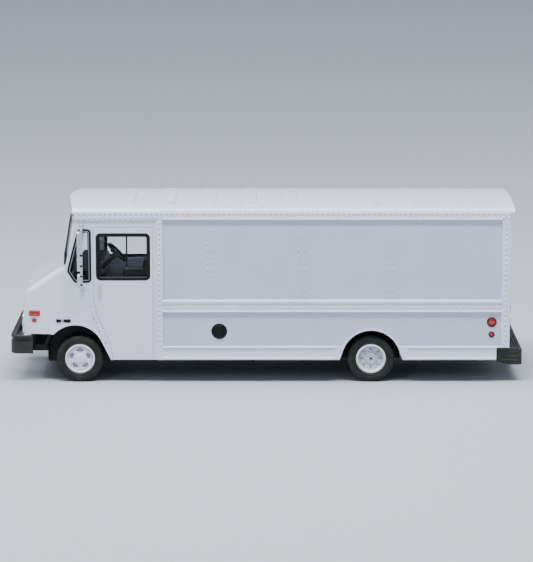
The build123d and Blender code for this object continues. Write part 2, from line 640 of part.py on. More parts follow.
with BuildPart() as running_gear:
    spring_span = (spring_z - spring_thickness / 2, spring_z + spring_thickness / 2)
    inner_rail_y = frame_rail_y - lap
    for side, _ in sides:
        rail_y = sorted((side * frame_rail_y, side * (frame_rail_y - frame_rail_width)))
        block((frame_front_x, frame_rear_x), rail_y, (frame_bottom_z, frame_top_z))
        for x in (front_axle_x, rear_axle_x):
            block((x - spring_half_length, x + spring_half_length), rail_y, spring_span)
            block((x - saddle_width / 2, x + saddle_width / 2), rail_y, (spring_z, frame_top_z))
            for end in (-1, 1):
                hanger = sorted((x + end * spring_half_length, x + end * (spring_half_length - hanger_width)))
                block(hanger, rail_y, (spring_span[0], frame_top_z))
    for x in cross_member_x:
        block((x - cross_member_width / 2, x + cross_member_width / 2), (-inner_rail_y, inner_rail_y),
              (frame_bottom_z + cross_member_lift, frame_top_z))
    block(gearbox_x, (-gearbox_half_width, gearbox_half_width), (pad_z + cross_member_lift, frame_top_z))
    block(pad_x, (-pad_half_width, pad_half_width), (pad_z, frame_top_z))
    block((pad_x[0] + hanger_width, pad_x[1] - hanger_width), (-inner_rail_y, inner_rail_y),
          (frame_bottom_z, frame_top_z))
    long_rod(0, axle_z, shaft_radius, (gearbox_x[1] - lap, rear_axle_x))
    cross_rod(front_axle_x, axle_z, sleeve_radius, (-beam_half, beam_half))
    cross_rod(rear_axle_x, axle_z, housing_radius, (-housing_half, housing_half))
    with BuildSketch(Plane.YZ.offset(rear_axle_x)):
        with Locations((0, axle_z)):
            Circle(differential_radius)
        with Locations((0, axle_z - differential_drop)):
            Rectangle(2 * differential_drop, 2 * differential_drop, mode=Mode.SUBTRACT)
    revolve(axis=Axis((rear_axle_x, 0, axle_z), (0, 1, 0)))
    tank_y = (-base_half_width + wall, -frame_rail_y + lap)
    with BuildSketch(Plane.YZ.offset(tank_x[0])):
        with Locations((sum(tank_y) / 2, (spring_z + frame_top_z) / 2)):
            RectangleRounded(tank_y[1] - tank_y[0], frame_top_z - spring_z, tank_corner)
    extrude(amount=tank_x[1] - tank_x[0])
    block(hanger_plate_x, (inner_rail_y, muffler_y), (muffler_z, frame_top_z))
    long_rod(muffler_y, muffler_z, muffler_radius, muffler_x)
    long_rod(muffler_y, muffler_z, tailpipe_radius, tailpipe_x)
    bore = axle_diameter / 2 + running_gap
    for x in (front_axle_x, rear_axle_x):
        cross_rod(x, axle_z, bore, (-half_width, half_width), mode=Mode.SUBTRACT)
save(running_gear, "running_gear")

screw_slot_width, screw_slot_length, screw_slot_depth = 0.45, 2.0, 0.35

with BuildPart() as base_screws:
    for x in (front_post_x, rear_post_x):
        head_z = base_z - screw_head_height
        post(x, 0, screw_head_radius, (head_z, base_z - seat_gap))
        post(x, 0, screw_radius, (head_z, base_top_z + screw_length - lap))
        with Locations((x, 0, head_z)):
            Box(screw_slot_length, screw_slot_width, 2 * screw_slot_depth, mode=Mode.SUBTRACT)
            Box(screw_slot_width, screw_slot_length, 2 * screw_slot_depth, mode=Mode.SUBTRACT)
save(base_screws, "base_screws")

# ---------------------------------------------------------------- bumpers
bumper_top_z = nose_bottom_z - 0.4
bumper_bottom_z = base_z - 0.8
bumper_ledge_z = bumper_top_z - 1.6
bumper_thickness = 1.3
bumper_wing = 5.9  # how far each end wraps back
bumper_width, bumper_corner = body_width - 0.4, 2.6
ledge_setback, ledge_lip = 0.4, 0.5  # the channel along the bumper's top: its depth and the flange over it
bracket_y, bracket_width = 8.5, 3.0
step_width, step_corner = body_width - 1.8, 1.0
step_drop, step_toe, step_heel = 0.7, 3.0, 0.8  # fall of its tread, and the underside's chamfer
tread_count, tread_pitch, tread_width, tread_depth, tread_margin = 3, 0.8, 0.3, 1.2, 1.5
step_bottom_z, step_top_z = base_z - 3.9, bumper_notch_z - fit

with BuildPart() as front_bumper:
    with BuildSketch(Plane.XY.offset(bumper_bottom_z)) as plan:
        with Locations((front_x + bumper_wing, 0)):
            Rectangle(2 * bumper_wing, bumper_width)
        fillet(plan.vertices().group_by(Axis.X)[0], bumper_corner)
        with Locations((front_x + bumper_wing + bumper_thickness, 0)):
            RectangleRounded(
                2 * bumper_wing, bumper_width - 2 * bumper_thickness, bumper_corner - bumper_thickness,
                mode=Mode.SUBTRACT,
            )
        with Locations((front_x + 2 * bumper_wing, 0)):
            Rectangle(2 * bumper_wing, 2 * body_width, mode=Mode.SUBTRACT)
    extrude(amount=bumper_top_z - bumper_bottom_z)
    with BuildSketch(Plane.XY.offset(bumper_ledge_z)):
        with Locations((front_x + bumper_wing, 0)):
            Rectangle(2 * (bumper_wing + past), bumper_width + 2 * past)
            RectangleRounded(
                2 * (bumper_wing - ledge_setback), bumper_width - 2 * ledge_setback, bumper_corner - ledge_setback,
                mode=Mode.SUBTRACT,
            )
    extrude(amount=bumper_top_z - bumper_ledge_z - ledge_lip, mode=Mode.SUBTRACT)
    for side, _ in sides:
        bracket = sorted((side * (bracket_y - bracket_width / 2), side * (bracket_y + bracket_width / 2)))
        block((front_x + bumper_thickness / 2, base_front_x - seat_gap), bracket, (base_z, base_top_z))
save(front_bumper, "front_bumper")

with BuildPart() as rear_bumper:
    with BuildSketch(Plane.XZ):
        with BuildLine():
            Polyline(
                (base_rear_x + seat_gap, step_bottom_z + step_heel),
                (base_rear_x + seat_gap, step_top_z),
                (back_x + fit, step_top_z),
                (rear_x, step_top_z - step_drop),
                (rear_x, step_bottom_z),
                (base_rear_x + step_toe, step_bottom_z),
                close=True,
            )
        make_face()
    extrude(amount=step_width / 2, both=True)
    fillet(rear_bumper.edges().filter_by(Axis.Z).group_by(Axis.X)[-1], step_corner)
    tread_half = step_width / 2 - tread_margin
    for row in range(tread_count):
        groove_x = back_x + (row + 1) * tread_pitch
        block((groove_x, groove_x + tread_width), (-tread_half, tread_half), (step_top_z - tread_depth, step_top_z),
              mode=Mode.SUBTRACT)
save(rear_bumper, "rear_bumper")

# ---------------------------------------------------------------- nose trim
grille_border, slot_count, grille_bar = 0.5, 7, 0.35
bezel_width, bezel_round = 0.5, 0.12
headlamp_crown, turn_lamp_crown, tail_lamp_crown = 0.35, 0.3, 0.2  # rounding of each lens's edge
latch_lobe_round, latch_lobes = 0.35, (1.2, 1.9)  # the catch's two lobes, front and rear
cap_flange, cap_flange_height, cap_height = 0.35, 0.1, 0.3
pull_half_width, pull_foot, pull_proud, pull_thickness, pull_height = 1.9, 0.6, 0.5, 0.4, 0.8
pull_rise = 2.6  # over the door's foot

with BuildPart() as grille:
    with BuildSketch(nose_plane(grille_depth - seat_gap)):
        with Locations((0, grille_foot + grille_height / 2)):
            Rectangle(grille_width, grille_height)
    extrude(amount=grille_depth)
    with BuildSketch(nose_plane()):
        slot_pitch = (grille_height - 2 * grille_border) / slot_count
        with Locations((0, grille_foot + grille_height / 2)):
            with GridLocations(0, slot_pitch, 1, slot_count):
                Rectangle(grille_width - 2 * grille_border, slot_pitch - grille_bar)
    extrude(amount=-grille_depth * 0.6, both=True, mode=Mode.SUBTRACT)
save(grille, "grille")

for side, hand in sides:
    with BuildPart() as headlamp_bezel:
        with BuildSketch(nose_plane(grille_depth - seat_gap)):
            with Locations((-side * headlamp_y, headlamp_rise)):
                Circle(headlamp_radius)
                Circle(headlamp_radius - bezel_width, mode=Mode.SUBTRACT)
        extrude(amount=grille_depth + trim_proud)
        fillet(headlamp_bezel.edges().filter_by(GeomType.CIRCLE).sort_by(Axis.X)[0:2], bezel_round)
    save(headlamp_bezel, f"headlamp_bezel_{hand}")

    with BuildPart() as headlamp_lens:
        with BuildSketch(nose_plane(grille_depth - seat_gap)):
            with Locations((-side * headlamp_y, headlamp_rise)):
                Circle(headlamp_radius - bezel_width - seat_gap)
        extrude(amount=grille_depth + trim_proud)
        fillet(headlamp_lens.edges().filter_by(GeomType.CIRCLE).sort_by(Axis.X)[0], headlamp_crown)
    save(headlamp_lens, f"headlamp_lens_{hand}")

    with BuildPart() as turn_lamp:
        with BuildSketch(nose_plane(grille_depth - seat_gap)):
            with Locations((-side * headlamp_y, turn_lamp_rise)):
                Circle(turn_lamp_radius)
        extrude(amount=grille_depth + trim_proud)
        fillet(turn_lamp.edges().filter_by(GeomType.CIRCLE).sort_by(Axis.X)[0], turn_lamp_crown)
    save(turn_lamp, f"turn_lamp_{hand}")

    seat_floor = side * (trim_depth - seat_gap)
    seated = -side * (trim_depth - seat_gap + trim_proud)

    with BuildPart() as side_marker:
        with BuildSketch(nose_side_plane(side).offset(seat_floor)):
            with Locations(marker[:2]):
                RectangleRounded(*marker[2:], marker_round)
            with Locations(reflector[:2]):
                Circle(reflector[2])
        extrude(amount=seated)
    save(side_marker, f"side_marker_{hand}")

    with BuildPart() as hood_latch:
        with BuildSketch(nose_side_plane(side).offset(seat_floor)):
            for end, lobe in zip((-1, 1), latch_lobes):
                with Locations((latch[0] + end * (latch[2] - lobe) / 2, latch[1])):
                    RectangleRounded(lobe, latch[3], latch_lobe_round)
            with Locations(latch[:2]):
                Rectangle(latch[2] - min(latch_lobes), latch[3] / 3)
        extrude(amount=seated)
    save(hood_latch, f"hood_latch_{hand}")

    with BuildPart() as rear_side_lamp:
        for x, z, radius in rear_lamps:
            with BuildSketch(side_plane(side, panel_y).offset(seat_floor)):
                with Locations((x, z)):
                    Circle(radius)
            extrude(amount=seated)
    save(rear_side_lamp, f"rear_side_lamps_{hand}")

    with BuildPart() as tail_lamp:
        with BuildSketch(rear_plane(trim_depth - seat_gap)):
            with Locations(*[(side * tail_lamp_y, z) for z in tail_lamps]):
                Circle(tail_lamp_radius)
        extrude(amount=trim_depth + trim_proud)
        fillet(tail_lamp.edges().filter_by(GeomType.CIRCLE).group_by(Axis.X)[-1], tail_lamp_crown)
    save(tail_lamp, f"tail_lamps_{hand}")

with BuildPart() as roof_lamps_front:
    for side, _ in sides:
        extrude(header_lamps(side, 0, trim_depth - seat_gap), amount=trim_depth + trim_proud)
    ridge_lamp(0, trim_depth - seat_gap, trim_proud)
save(roof_lamps_front, "roof_lamps_front")

with BuildPart() as roof_lamps_rear:
    with BuildSketch(rear_plane(trim_depth - seat_gap)):
        with Locations(*[(y, roof_lamp_z) for y in roof_lamps]):
            Rectangle(*roof_lamp_size)
    extrude(amount=trim_depth + trim_proud)
save(roof_lamps_rear, "roof_lamps_rear")

with BuildPart() as fuel_cap:
    with BuildSketch(side_plane(-1, panel_y).offset(-trim_depth + seat_gap)):
        with Locations((filler_x, filler_z)):
            Circle(filler_radius)
    extrude(amount=trim_depth - seat_gap + cap_flange_height)
    with BuildSketch(side_plane(-1, panel_y)):
        with Locations((filler_x, filler_z)):
            Circle(filler_radius - cap_flange)
    extrude(amount=cap_flange_height + cap_height)
save(fuel_cap, "fuel_cap")

with BuildPart() as rear_door_handle:
    pull_x = (back_x - door_relief + seat_gap, back_x + pull_proud)
    pull_z = (door_foot_z + pull_rise - pull_height / 2, door_foot_z + pull_rise + pull_height / 2)
    for side, _ in sides:
        foot_y = sorted((side * pull_half_width, side * (pull_half_width - pull_foot)))
        block(pull_x, foot_y, pull_z)
    block((pull_x[1] - pull_thickness, pull_x[1]), (-pull_half_width, pull_half_width), pull_z)
save(rear_door_handle, "rear_door_handle")

# ---------------------------------------------------------------- mirrors, door handles and wipers
mirror_x = front_axle_x + 0.9
mirror_reach = 4.0  # from the panel to the mirror's outer edge
mirror_top_z, mirror_foot_z = window_top_z + 2.3, window_sill_z - 2.6
mirror_bar, mirror_bend = 0.6, 1.0  # its thickness, and how far its ends slope to the panel
clamp_size, clamp_thickness = (1.0, 1.4), 0.4
mirror_head_width, mirror_head_thickness, mirror_head_round = 2.7, 0.7, 0.5
mirror_z = (window_sill_z + 3.0, window_top_z + 0.9)  # flat head
convex_z = (window_sill_z - 1.4, window_sill_z + 2.2)
handle_x, handle_z = (door_window[0] + 0.5, door_window[0] + 1.4), (window_sill_z - 4.0, window_sill_z - 1.2)
handle_proud = 0.5
wiper_pivot, wiper_elbow = (12.5, 0.35), (7.0, 1.5)  # on the screen's plane: out from the middle, and up
blade_ends = ((9.5, 1.15), (3.5, 1.75))
pivot_radius, wiper_arm_width, blade_width = 0.35, 0.3, 0.35
wiper_arm_thickness, blade_thickness = 0.35, 0.3

for side, hand in sides:
    outer_y = panel_y + mirror_reach
    head_centre_y = outer_y - mirror_head_width / 2

    with BuildPart() as mirror_arm:
        foot_y = panel_y + seat_gap
        with BuildSketch(Plane.YZ.offset(mirror_x - mirror_bar / 2)):
            with BuildLine():
                Polyline(
                    (side * foot_y, mirror_top_z),
                    (side * head_centre_y, mirror_top_z - mirror_bend),
                    (side * head_centre_y, mirror_foot_z + mirror_bend),
                    (side * foot_y, mirror_foot_z),
                )
            trace(line_width=mirror_bar)
        extrude(amount=mirror_bar)
        for z in (mirror_top_z, mirror_foot_z):
            block((mirror_x - clamp_size[0] / 2, mirror_x + clamp_size[0] / 2),
                  sorted((side * foot_y, side * (foot_y + clamp_thickness))),
                  (z - clamp_size[1] / 2, z + clamp_size[1] / 2))
        block((mirror_x - past, mirror_x + past), sorted((side * (panel_y - past), side * foot_y)),
              (mirror_foot_z - 2 * past, mirror_top_z + 2 * past), mode=Mode.SUBTRACT)
    save(mirror_arm, f"mirror_arm_{hand}")

    with BuildPart() as mirror_head:
        for foot_z, head_z in (mirror_z, convex_z):
            with BuildSketch(Plane.YZ.offset(mirror_x - mirror_bar / 2 - seat_gap)):
                with Locations((side * head_centre_y, (foot_z + head_z) / 2)):
                    RectangleRounded(mirror_head_width, head_z - foot_z, mirror_head_round)
            extrude(amount=-mirror_head_thickness)
    save(mirror_head, f"mirror_heads_{hand}")

    with BuildPart() as door_handle:
        block(handle_x, sorted((side * (panel_y + seat_gap), side * (panel_y + handle_proud))), handle_z)
    save(door_handle, f"door_handle_{hand}")

    with BuildPart() as wiper:
        with BuildSketch(screen_plane(side, -seat_gap)):
            with Locations((-side * wiper_pivot[0], wiper_pivot[1])):
                Circle(pivot_radius)
            with BuildLine():
                Line(*[(-side * out, up) for out, up in (wiper_pivot, wiper_elbow)])
            trace(line_width=wiper_arm_width)
        extrude(amount=wiper_arm_thickness)
        with BuildSketch(screen_plane(side, -seat_gap)):
            with BuildLine():
                Line(*[(-side * out, up) for out, up in blade_ends])
            trace(line_width=blade_width)
        extrude(amount=blade_thickness)
    save(wiper, f"wiper_{hand}")

# ---------------------------------------------------------------- axles, hubs and tyres
hub_seat = rim_diameter / 2 - seat_gap
press_gap = 0.01  # radial gap of an axle pressed into its hub
bore_radius = axle_diameter / 2 + press_gap
lip_width, lip_round, disc_thickness = 0.55, 0.15, 0.7
dish_depth, rear_dish_depth = 0.9, 1.5
boss_radius, boss_length = 1.35, 0.8
hole_count, hole_length, hole_width, hole_ring = 5, 1.25, 0.85, 2.15
cap_thickness, cap_rise = 0.5, 0.35
tread_edge, sidewall_edge, bead_edge = (0.6, 0.2), (0.2, 0.7), (0.35, 0.5)  # (in from the face, radius) steps


def wheel_profile(x, side, points):
    """Face in the wheel's upright plane, from (distance in from the wheel's outer face, radius) points."""
    with BuildSketch(Plane.YZ.offset(x)) as profile:
        with BuildLine():
            Polyline([(side * (wheel_face_y - depth), axle_z + radius) for depth, radius in points], close=True)
        make_face()
    return profile.sketch


def wheel_axis(x):
    return Axis((x, 0, axle_z), (0, 1, 0))


def hub_points(width, dish):
    """Half section of a hub: a rim barrel with a lip, a dished disc and a central boss."""
    inner_rim = hub_seat - lip_width
    disc_back, cap_face = dish + disc_thickness, dish - cap_rise
    return (
        (lip_round, hub_seat - lip_round),
        (2 * lip_round, hub_seat),
        (width, hub_seat),
        (width, inner_rim),
        (disc_back + lip_round, inner_rim - lip_round),
        (disc_back, boss_radius),
        (disc_back + boss_length, boss_radius),
        (disc_back + boss_length, bore_radius),
        (cap_face + cap_thickness, bore_radius),
        (cap_face + cap_thickness, 0.0),
        (cap_face, 0.0),
        (cap_face, boss_radius - cap_rise),
        (dish, boss_radius),
        (dish + lip_round, inner_rim - 3 * lip_round),
        (2 * lip_round, inner_rim),
        (0.0, inner_rim + lip_round),
    )


def tyre_points(outer, width):
    """Half section of a tyre whose outer face lies that far in."""
    tread = tyre_diameter / 2
    bead = hub_seat + seat_gap
    edge = (
        (bead_edge[0], bead),
        (0.0, bead + bead_edge[1]),
        (0.0, tread - sidewall_edge[1]),
        (sidewall_edge[0], tread - tread_edge[1]),
        (tread_edge[0], tread),
    )
    return [(outer + x, r) for x, r in edge] + [(outer + width - x, r) for x, r in reversed(edge)]


def make_tyre(x, side, outer, name):
    with BuildPart() as tyre:
        revolve(wheel_profile(x, side, tyre_points(outer, tyre_width)), axis=wheel_axis(x))
    save(tyre, name)


for station, x, width, dish in (
    ("front", front_axle_x, tyre_width - fit, dish_depth),
    ("rear", rear_axle_x, dual_width - fit, rear_dish_depth),
):
    axle_end = wheel_face_y - dish + cap_rise - cap_thickness - seat_gap
    with BuildPart() as axle:
        cross_rod(x, axle_z, axle_diameter / 2, (-axle_end, axle_end))
    save(axle, f"{station}_axle")

    for side, hand in sides:
        with BuildPart() as hub:
            revolve(wheel_profile(x, side, hub_points(width, dish)), axis=wheel_axis(x))
            if station == "front":
                with BuildSketch(Plane.XZ.offset(-side * (wheel_face_y + past))):
                    with Locations((x, axle_z)):
                        with PolarLocations(hole_ring, hole_count, start_angle=90):
                            SlotOverall(hole_length, hole_width, rotation=90)
                extrude(amount=side * (dish + disc_thickness + 2 * past), mode=Mode.SUBTRACT)
        save(hub, f"{station}_hub_{hand}")
        if station == "front":
            make_tyre(x, side, 0.0, f"front_tyre_{hand}")
        else:
            make_tyre(x, side, 0.0, f"rear_outer_tyre_{hand}")
            make_tyre(x, side, tyre_width + dual_gap, f"rear_inner_tyre_{hand}")
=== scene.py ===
"""White 1:64 die-cast walk-in mail truck: the finishes and the fine detail of each piece, in metres."""

from math import cos, pi, radians, sin

import bmesh
import bpy
from mathutils import Matrix, Vector


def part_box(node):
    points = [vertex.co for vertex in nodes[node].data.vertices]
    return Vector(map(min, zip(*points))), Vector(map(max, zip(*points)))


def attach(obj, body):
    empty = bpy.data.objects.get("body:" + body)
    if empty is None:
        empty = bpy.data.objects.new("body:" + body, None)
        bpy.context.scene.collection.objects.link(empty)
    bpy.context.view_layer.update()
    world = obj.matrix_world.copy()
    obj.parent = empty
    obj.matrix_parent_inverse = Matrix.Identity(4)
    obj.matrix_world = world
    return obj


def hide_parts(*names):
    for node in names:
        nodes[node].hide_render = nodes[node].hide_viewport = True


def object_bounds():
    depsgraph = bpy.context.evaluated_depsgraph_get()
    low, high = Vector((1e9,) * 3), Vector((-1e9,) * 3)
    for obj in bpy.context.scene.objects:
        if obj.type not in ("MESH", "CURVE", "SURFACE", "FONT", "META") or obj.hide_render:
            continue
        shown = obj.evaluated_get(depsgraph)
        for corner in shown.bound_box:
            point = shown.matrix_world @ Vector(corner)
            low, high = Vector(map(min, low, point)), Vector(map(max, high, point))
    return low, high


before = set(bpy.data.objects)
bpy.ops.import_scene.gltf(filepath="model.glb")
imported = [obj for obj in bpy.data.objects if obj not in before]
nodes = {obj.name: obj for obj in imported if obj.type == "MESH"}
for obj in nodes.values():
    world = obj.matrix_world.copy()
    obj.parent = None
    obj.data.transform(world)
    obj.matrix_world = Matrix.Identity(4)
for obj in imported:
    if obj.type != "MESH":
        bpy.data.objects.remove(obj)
cad_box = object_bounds()
mm = 0.001

# ---------------------------------------------------------------- cast body
# One zinc die casting for the cab, the load box and the hood, sprayed in gloss white enamel. The paint rounds
# every sharp edge and ripples where it has pooled. Painted shade is set into its colour: greyer on the load
# box's sunk panels, and a little greyer over the whole cab.
# The white carries a blue cast painted in as a reflection; the panel and cab colours are painted shade.
enamel_white_painted_blue, panel_painted_shade, cab_painted_shade = (0.77, 0.79, 0.90), (0.56, 0.58, 0.71), (0.75, 0.77, 0.885)
cloud_low, cloud_high, cloud_size = (0.95, 0.95, 0.965), (1, 1, 1), 11 * mm
panel_levels, level_margin = (17.9 * mm, 18.05 * mm, 18.25 * mm, 18.42 * mm), 0.5 * mm
load_box_front = -28.0 * mm
paint_round = 0.2 * mm
ripple_size, ripple_height = 1.6 * mm, 0.008 * mm


def new_finish(name, colour, roughness):
    """Starts a finish of one colour and gloss, which the piece's own section then refines."""
    finish = bpy.data.materials.new(name)
    finish.use_nodes = True
    shader = finish.node_tree.nodes["Principled BSDF"]
    shader.inputs["Base Color"].default_value = (*colour, 1)
    shader.inputs["Roughness"].default_value = roughness
    return finish, finish.node_tree, shader


def patches(tree, size, detail=3.0):
    """Noise over the piece, in patches of about that size."""
    place = tree.nodes.new("ShaderNodeTexCoord")
    noise = tree.nodes.new("ShaderNodeTexNoise")
    noise.inputs["Scale"].default_value = 1 / size
    noise.inputs["Detail"].default_value = detail
    tree.links.new(place.outputs["Object"], noise.inputs["Vector"])
    return noise.outputs["Fac"]


def drift(tree, shader, value, low, high, first, second, target="Base Color"):
    """Lets a colour drift from first to second as value rises from low to high."""
    ramp = tree.nodes.new("ShaderNodeValToRGB")
    for stop, position, shade in zip(ramp.color_ramp.elements, (low, high), (first, second)):
        stop.position = position
        stop.color = (*shade, 1)
    tree.links.new(value, ramp.inputs["Fac"])
    tree.links.new(ramp.outputs["Color"], shader.inputs[target])


def ripple(tree, shader, value, height, edge=0.0, coat=False):
    """Raises the surface by value times height, over edges rounded by that radius."""
    bump = tree.nodes.new("ShaderNodeBump")
    bump.inputs["Strength"].default_value = 1.0
    bump.inputs["Distance"].default_value = height
    tree.links.new(value, bump.inputs["Height"])
    if edge:
        rounding = tree.nodes.new("ShaderNodeBevel")
        rounding.samples = 4
        rounding.inputs["Radius"].default_value = edge
        tree.links.new(rounding.outputs["Normal"], bump.inputs["Normal"])
    tree.links.new(bump.outputs["Normal"], shader.inputs["Normal"])
    if coat:
        tree.links.new(bump.outputs["Normal"], shader.inputs["Coat Normal"])


def enamel():
    """White paint with painted shade: greyer where a side face lies at the sunk panels' level, and greyer over
    the cab.
    """
    finish, tree, shader = new_finish("white_enamel", enamel_white_painted_blue, 0.36)
    shader.inputs["Coat Weight"].default_value = 0.5
    shader.inputs["Coat Roughness"].default_value = 0.1
    place = tree.nodes.new("ShaderNodeTexCoord")
    split = tree.nodes.new("ShaderNodeSeparateXYZ")
    reach = tree.nodes.new("ShaderNodeMath")
    reach.operation = "ABSOLUTE"
    level = tree.nodes.new("ShaderNodeMapRange")
    level.inputs["From Min"].default_value = panel_levels[0] - level_margin
    level.inputs["From Max"].default_value = panel_levels[-1] + level_margin
    # Painted shade on the sunk panels: side faces at the panels' depth take the greyer panel colour.
    ramp = tree.nodes.new("ShaderNodeValToRGB")
    span = panel_levels[-1] - panel_levels[0] + 2 * level_margin
    stops = [(depth - panel_levels[0] + level_margin) / span for depth in panel_levels]
    ramp.color_ramp.elements[0].position = stops[0]
    ramp.color_ramp.elements[0].color = (*enamel_white_painted_blue, 1)
    ramp.color_ramp.elements[1].position = stops[3]
    ramp.color_ramp.elements[1].color = (*enamel_white_painted_blue, 1)
    for stop in stops[1:3]:
        ramp.color_ramp.elements.new(stop).color = (*panel_painted_shade, 1)
    drift(tree, shader, patches(tree, cloud_size), 0.35, 0.7, cloud_low, cloud_high)
    tone = shader.inputs["Base Color"].links[0].from_socket
    # Painted shade over the cab: everything ahead of load_box_front takes the greyer cab colour.
    behind = tree.nodes.new("ShaderNodeMath")
    behind.operation = "GREATER_THAN"
    behind.inputs[1].default_value = load_box_front
    cover = tree.nodes.new("ShaderNodeMix")
    cover.data_type = "RGBA"
    cover.inputs["A"].default_value = (*cab_painted_shade, 1)
    blend = tree.nodes.new("ShaderNodeMix")
    blend.data_type = "RGBA"
    blend.blend_type = "MULTIPLY"
    blend.inputs["Factor"].default_value = 1.0
    tree.links.new(place.outputs["Object"], split.inputs["Vector"])
    tree.links.new(split.outputs["Y"], reach.inputs[0])
    tree.links.new(reach.outputs["Value"], level.inputs["Value"])
    tree.links.new(level.outputs["Result"], ramp.inputs["Fac"])
    tree.links.new(split.outputs["X"], behind.inputs[0])
    tree.links.new(behind.outputs["Value"], cover.inputs["Factor"])
    tree.links.new(ramp.outputs["Color"], cover.inputs["B"])
    tree.links.new(cover.outputs["Result"], blend.inputs["A"])
    tree.links.new(tone, blend.inputs["B"])
    tree.links.new(blend.outputs["Result"], shader.inputs["Base Color"])
    ripple(tree, shader, patches(tree, ripple_size, 2.0), ripple_height, paint_round, coat=True)
    return finish


def paint(finish, *names):
    """Gives CAD nodes their finish, by whole name or by the start of it."""
    for name in nodes:
        if name.startswith(names):
            for slot in nodes[name].material_slots:
                slot.material = finish


white_enamel = enamel()
paint(white_enamel, "body_shell")
body_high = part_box("body_shell")[1]

# ---------------------------------------------------------------- rivets
# Rows of snap-head rivets on the roof rails, the belt rails, the posts, the panel joints and behind the front
# wheel arch. They are cast with the body and painted over, so they are low, soft domes at a regular pitch.
rivet_size, rivet_pitch = 0.66 * mm, 1.35 * mm
rivet_steps = ((0, -0.02 * mm), (0.01 * mm, 0.08 * mm), (0.09 * mm, 0.19 * mm), (0.2 * mm, 0.23 * mm))
joint_pitch, joint_scale = 1.7 * mm, 0.75
arch_pitch, arch_scale = 1.15 * mm, 0.8
tightest_corner = 0.02 * mm


def facing(spot, outward, up=(0, 0, 1)):
    """Place of a form that stands on a surface there: its own Z looks outward and its Y runs up."""
    outward = Vector(outward).normalized()
    across = Vector(up).cross(outward).normalized()
    along = outward.cross(across)
    turn = Matrix((across, along, outward)).transposed().to_4x4()
    return Matrix.Translation(Vector(spot)) @ turn


def raise_form(mesh, place, size, corner, steps, arc=6):
    """Adds a rounded form that stands on a surface: a stack of (inset, rise) outlines, closed over its top."""
    rings = []
    for inset, rise in steps:
        half_width, half_height = size[0] / 2 - inset, size[1] / 2 - inset
        radius = min(max(corner - inset, tightest_corner), half_width, half_height)
        ring = []
        for quarter in range(4):
            turn = quarter * pi / 2
            side_x, side_y = (1, -1, -1, 1)[quarter], (1, 1, -1, -1)[quarter]
            for step in range(arc):
                angle = turn + (step + 0.5) * pi / 2 / arc
                x = side_x * (half_width - radius) + radius * cos(angle)
                y = side_y * (half_height - radius) + radius * sin(angle)
                ring.append(mesh.verts.new(place @ Vector((x, y, rise))))
        rings.append(ring)
    join_rings(mesh, rings)
    mesh.faces.new(rings[-1])


def join_rings(mesh, rings):
    """Skins closed rings of as many points each, one to the next."""
    for lower, upper in zip(rings, rings[1:]):
        for here in range(len(lower)):
            after = (here + 1) % len(lower)
            mesh.faces.new((lower[here], lower[after], upper[after], upper[here]))


def rivet_row(mesh, start, end, outward, pitch=rivet_pitch, scale=1.0):
    """Adds a straight row of rivets from start to end, evenly spaced at about that pitch."""
    start, end = Vector(start), Vector(end)
    count = max(1, round((end - start).length / pitch))
    for step in range(count + 1):
        place = facing(start.lerp(end, step / count), outward) @ Matrix.Scale(scale, 4)
        raise_form(mesh, place, (rivet_size, rivet_size), rivet_size / 2, rivet_steps, arc=3)


def make_piece(mesh, name, body, finish, stands_for=(), sharp=35):
    """Turns a finished bmesh into a shaded piece that rides on a body and stands for those CAD nodes."""
    bmesh.ops.recalc_face_normals(mesh, faces=mesh.faces)
    data = bpy.data.meshes.new(name)
    mesh.to_mesh(data)
    mesh.free()
    for face in data.polygons:
        face.use_smooth = True
    data.set_sharp_from_angle(angle=radians(sharp))
    piece = bpy.data.objects.new(name, data)
    bpy.context.scene.collection.objects.link(piece)
    data.materials.append(finish)
    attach(piece, body)
    if stands_for:
        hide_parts(*stands_for)


rail_relief = 0.35 * mm
rail_y = body_high.y
panel_y = rail_y - rail_relief
rail_rows, rail_span = (44.0 * mm, 45.15 * mm), (-50.2 * mm, 63.2 * mm)
belt_row, belt_span = 20.3 * mm, (-26.3 * mm, 60.9 * mm)
posts, post_span = (-28.0 * mm, 62.65 * mm), (10.2 * mm, 42.6 * mm)
panel_joints, joint_overlap, joint_span = (-14.6 * mm, 9.3 * mm, 32.4 * mm), 0.85 * mm, (23.2 * mm, 42.4 * mm)
arch_row = ((-46.3, 24.4), (-46.1, 20.6), (-45.3, 17.2), (-43.8, 13.9), (-42.3, 10.8), (-41.2, 8.4))

rivets = bmesh.new()
for side in (-1, 1):
    outward = (0, side, 0)
    for z in rail_rows:
        rivet_row(rivets, *((x, side * rail_y, z) for x in rail_span), outward)
    rivet_row(rivets, *((x, side * rail_y, belt_row) for x in belt_span), outward)
    for x in posts:
        rivet_row(rivets, *((x, side * rail_y, z) for z in post_span), outward)
    for x in [joint + way * joint_overlap for joint in panel_joints for way in (-1, 1)]:
        rivet_row(rivets, *((x, side * panel_y, z) for z in joint_span), outward, joint_pitch, joint_scale)
    for first, second in zip(arch_row, arch_row[1:]):
        start, end = (Vector((x * mm, side * panel_y, z * mm)) for x, z in (first, second))
        rivet_row(rivets, start, end, outward, arch_pitch, arch_scale)
make_piece(rivets, "body_rivets", "body", white_enamel)

# ---------------------------------------------------------------- rail mouldings
# Half-round beads along the edges of the belt rails and the skirts, and along the roof rail's foot, cast with
# the body. They catch the light as thin bright lines.
bead_proud = 0.28 * mm
bead_lines = ((21.6, 1.15), (19.1, 0.5), (9.5, 0.7), (6.5, 0.8), (43.6, 0.6))  # height and width of each
bead_steps = 6
bead_span = (-27.2 * mm, 61.6 * mm)
arch_top, rear_arch_clear, skirt_end = 10, 9.6 * mm, 60.2 * mm


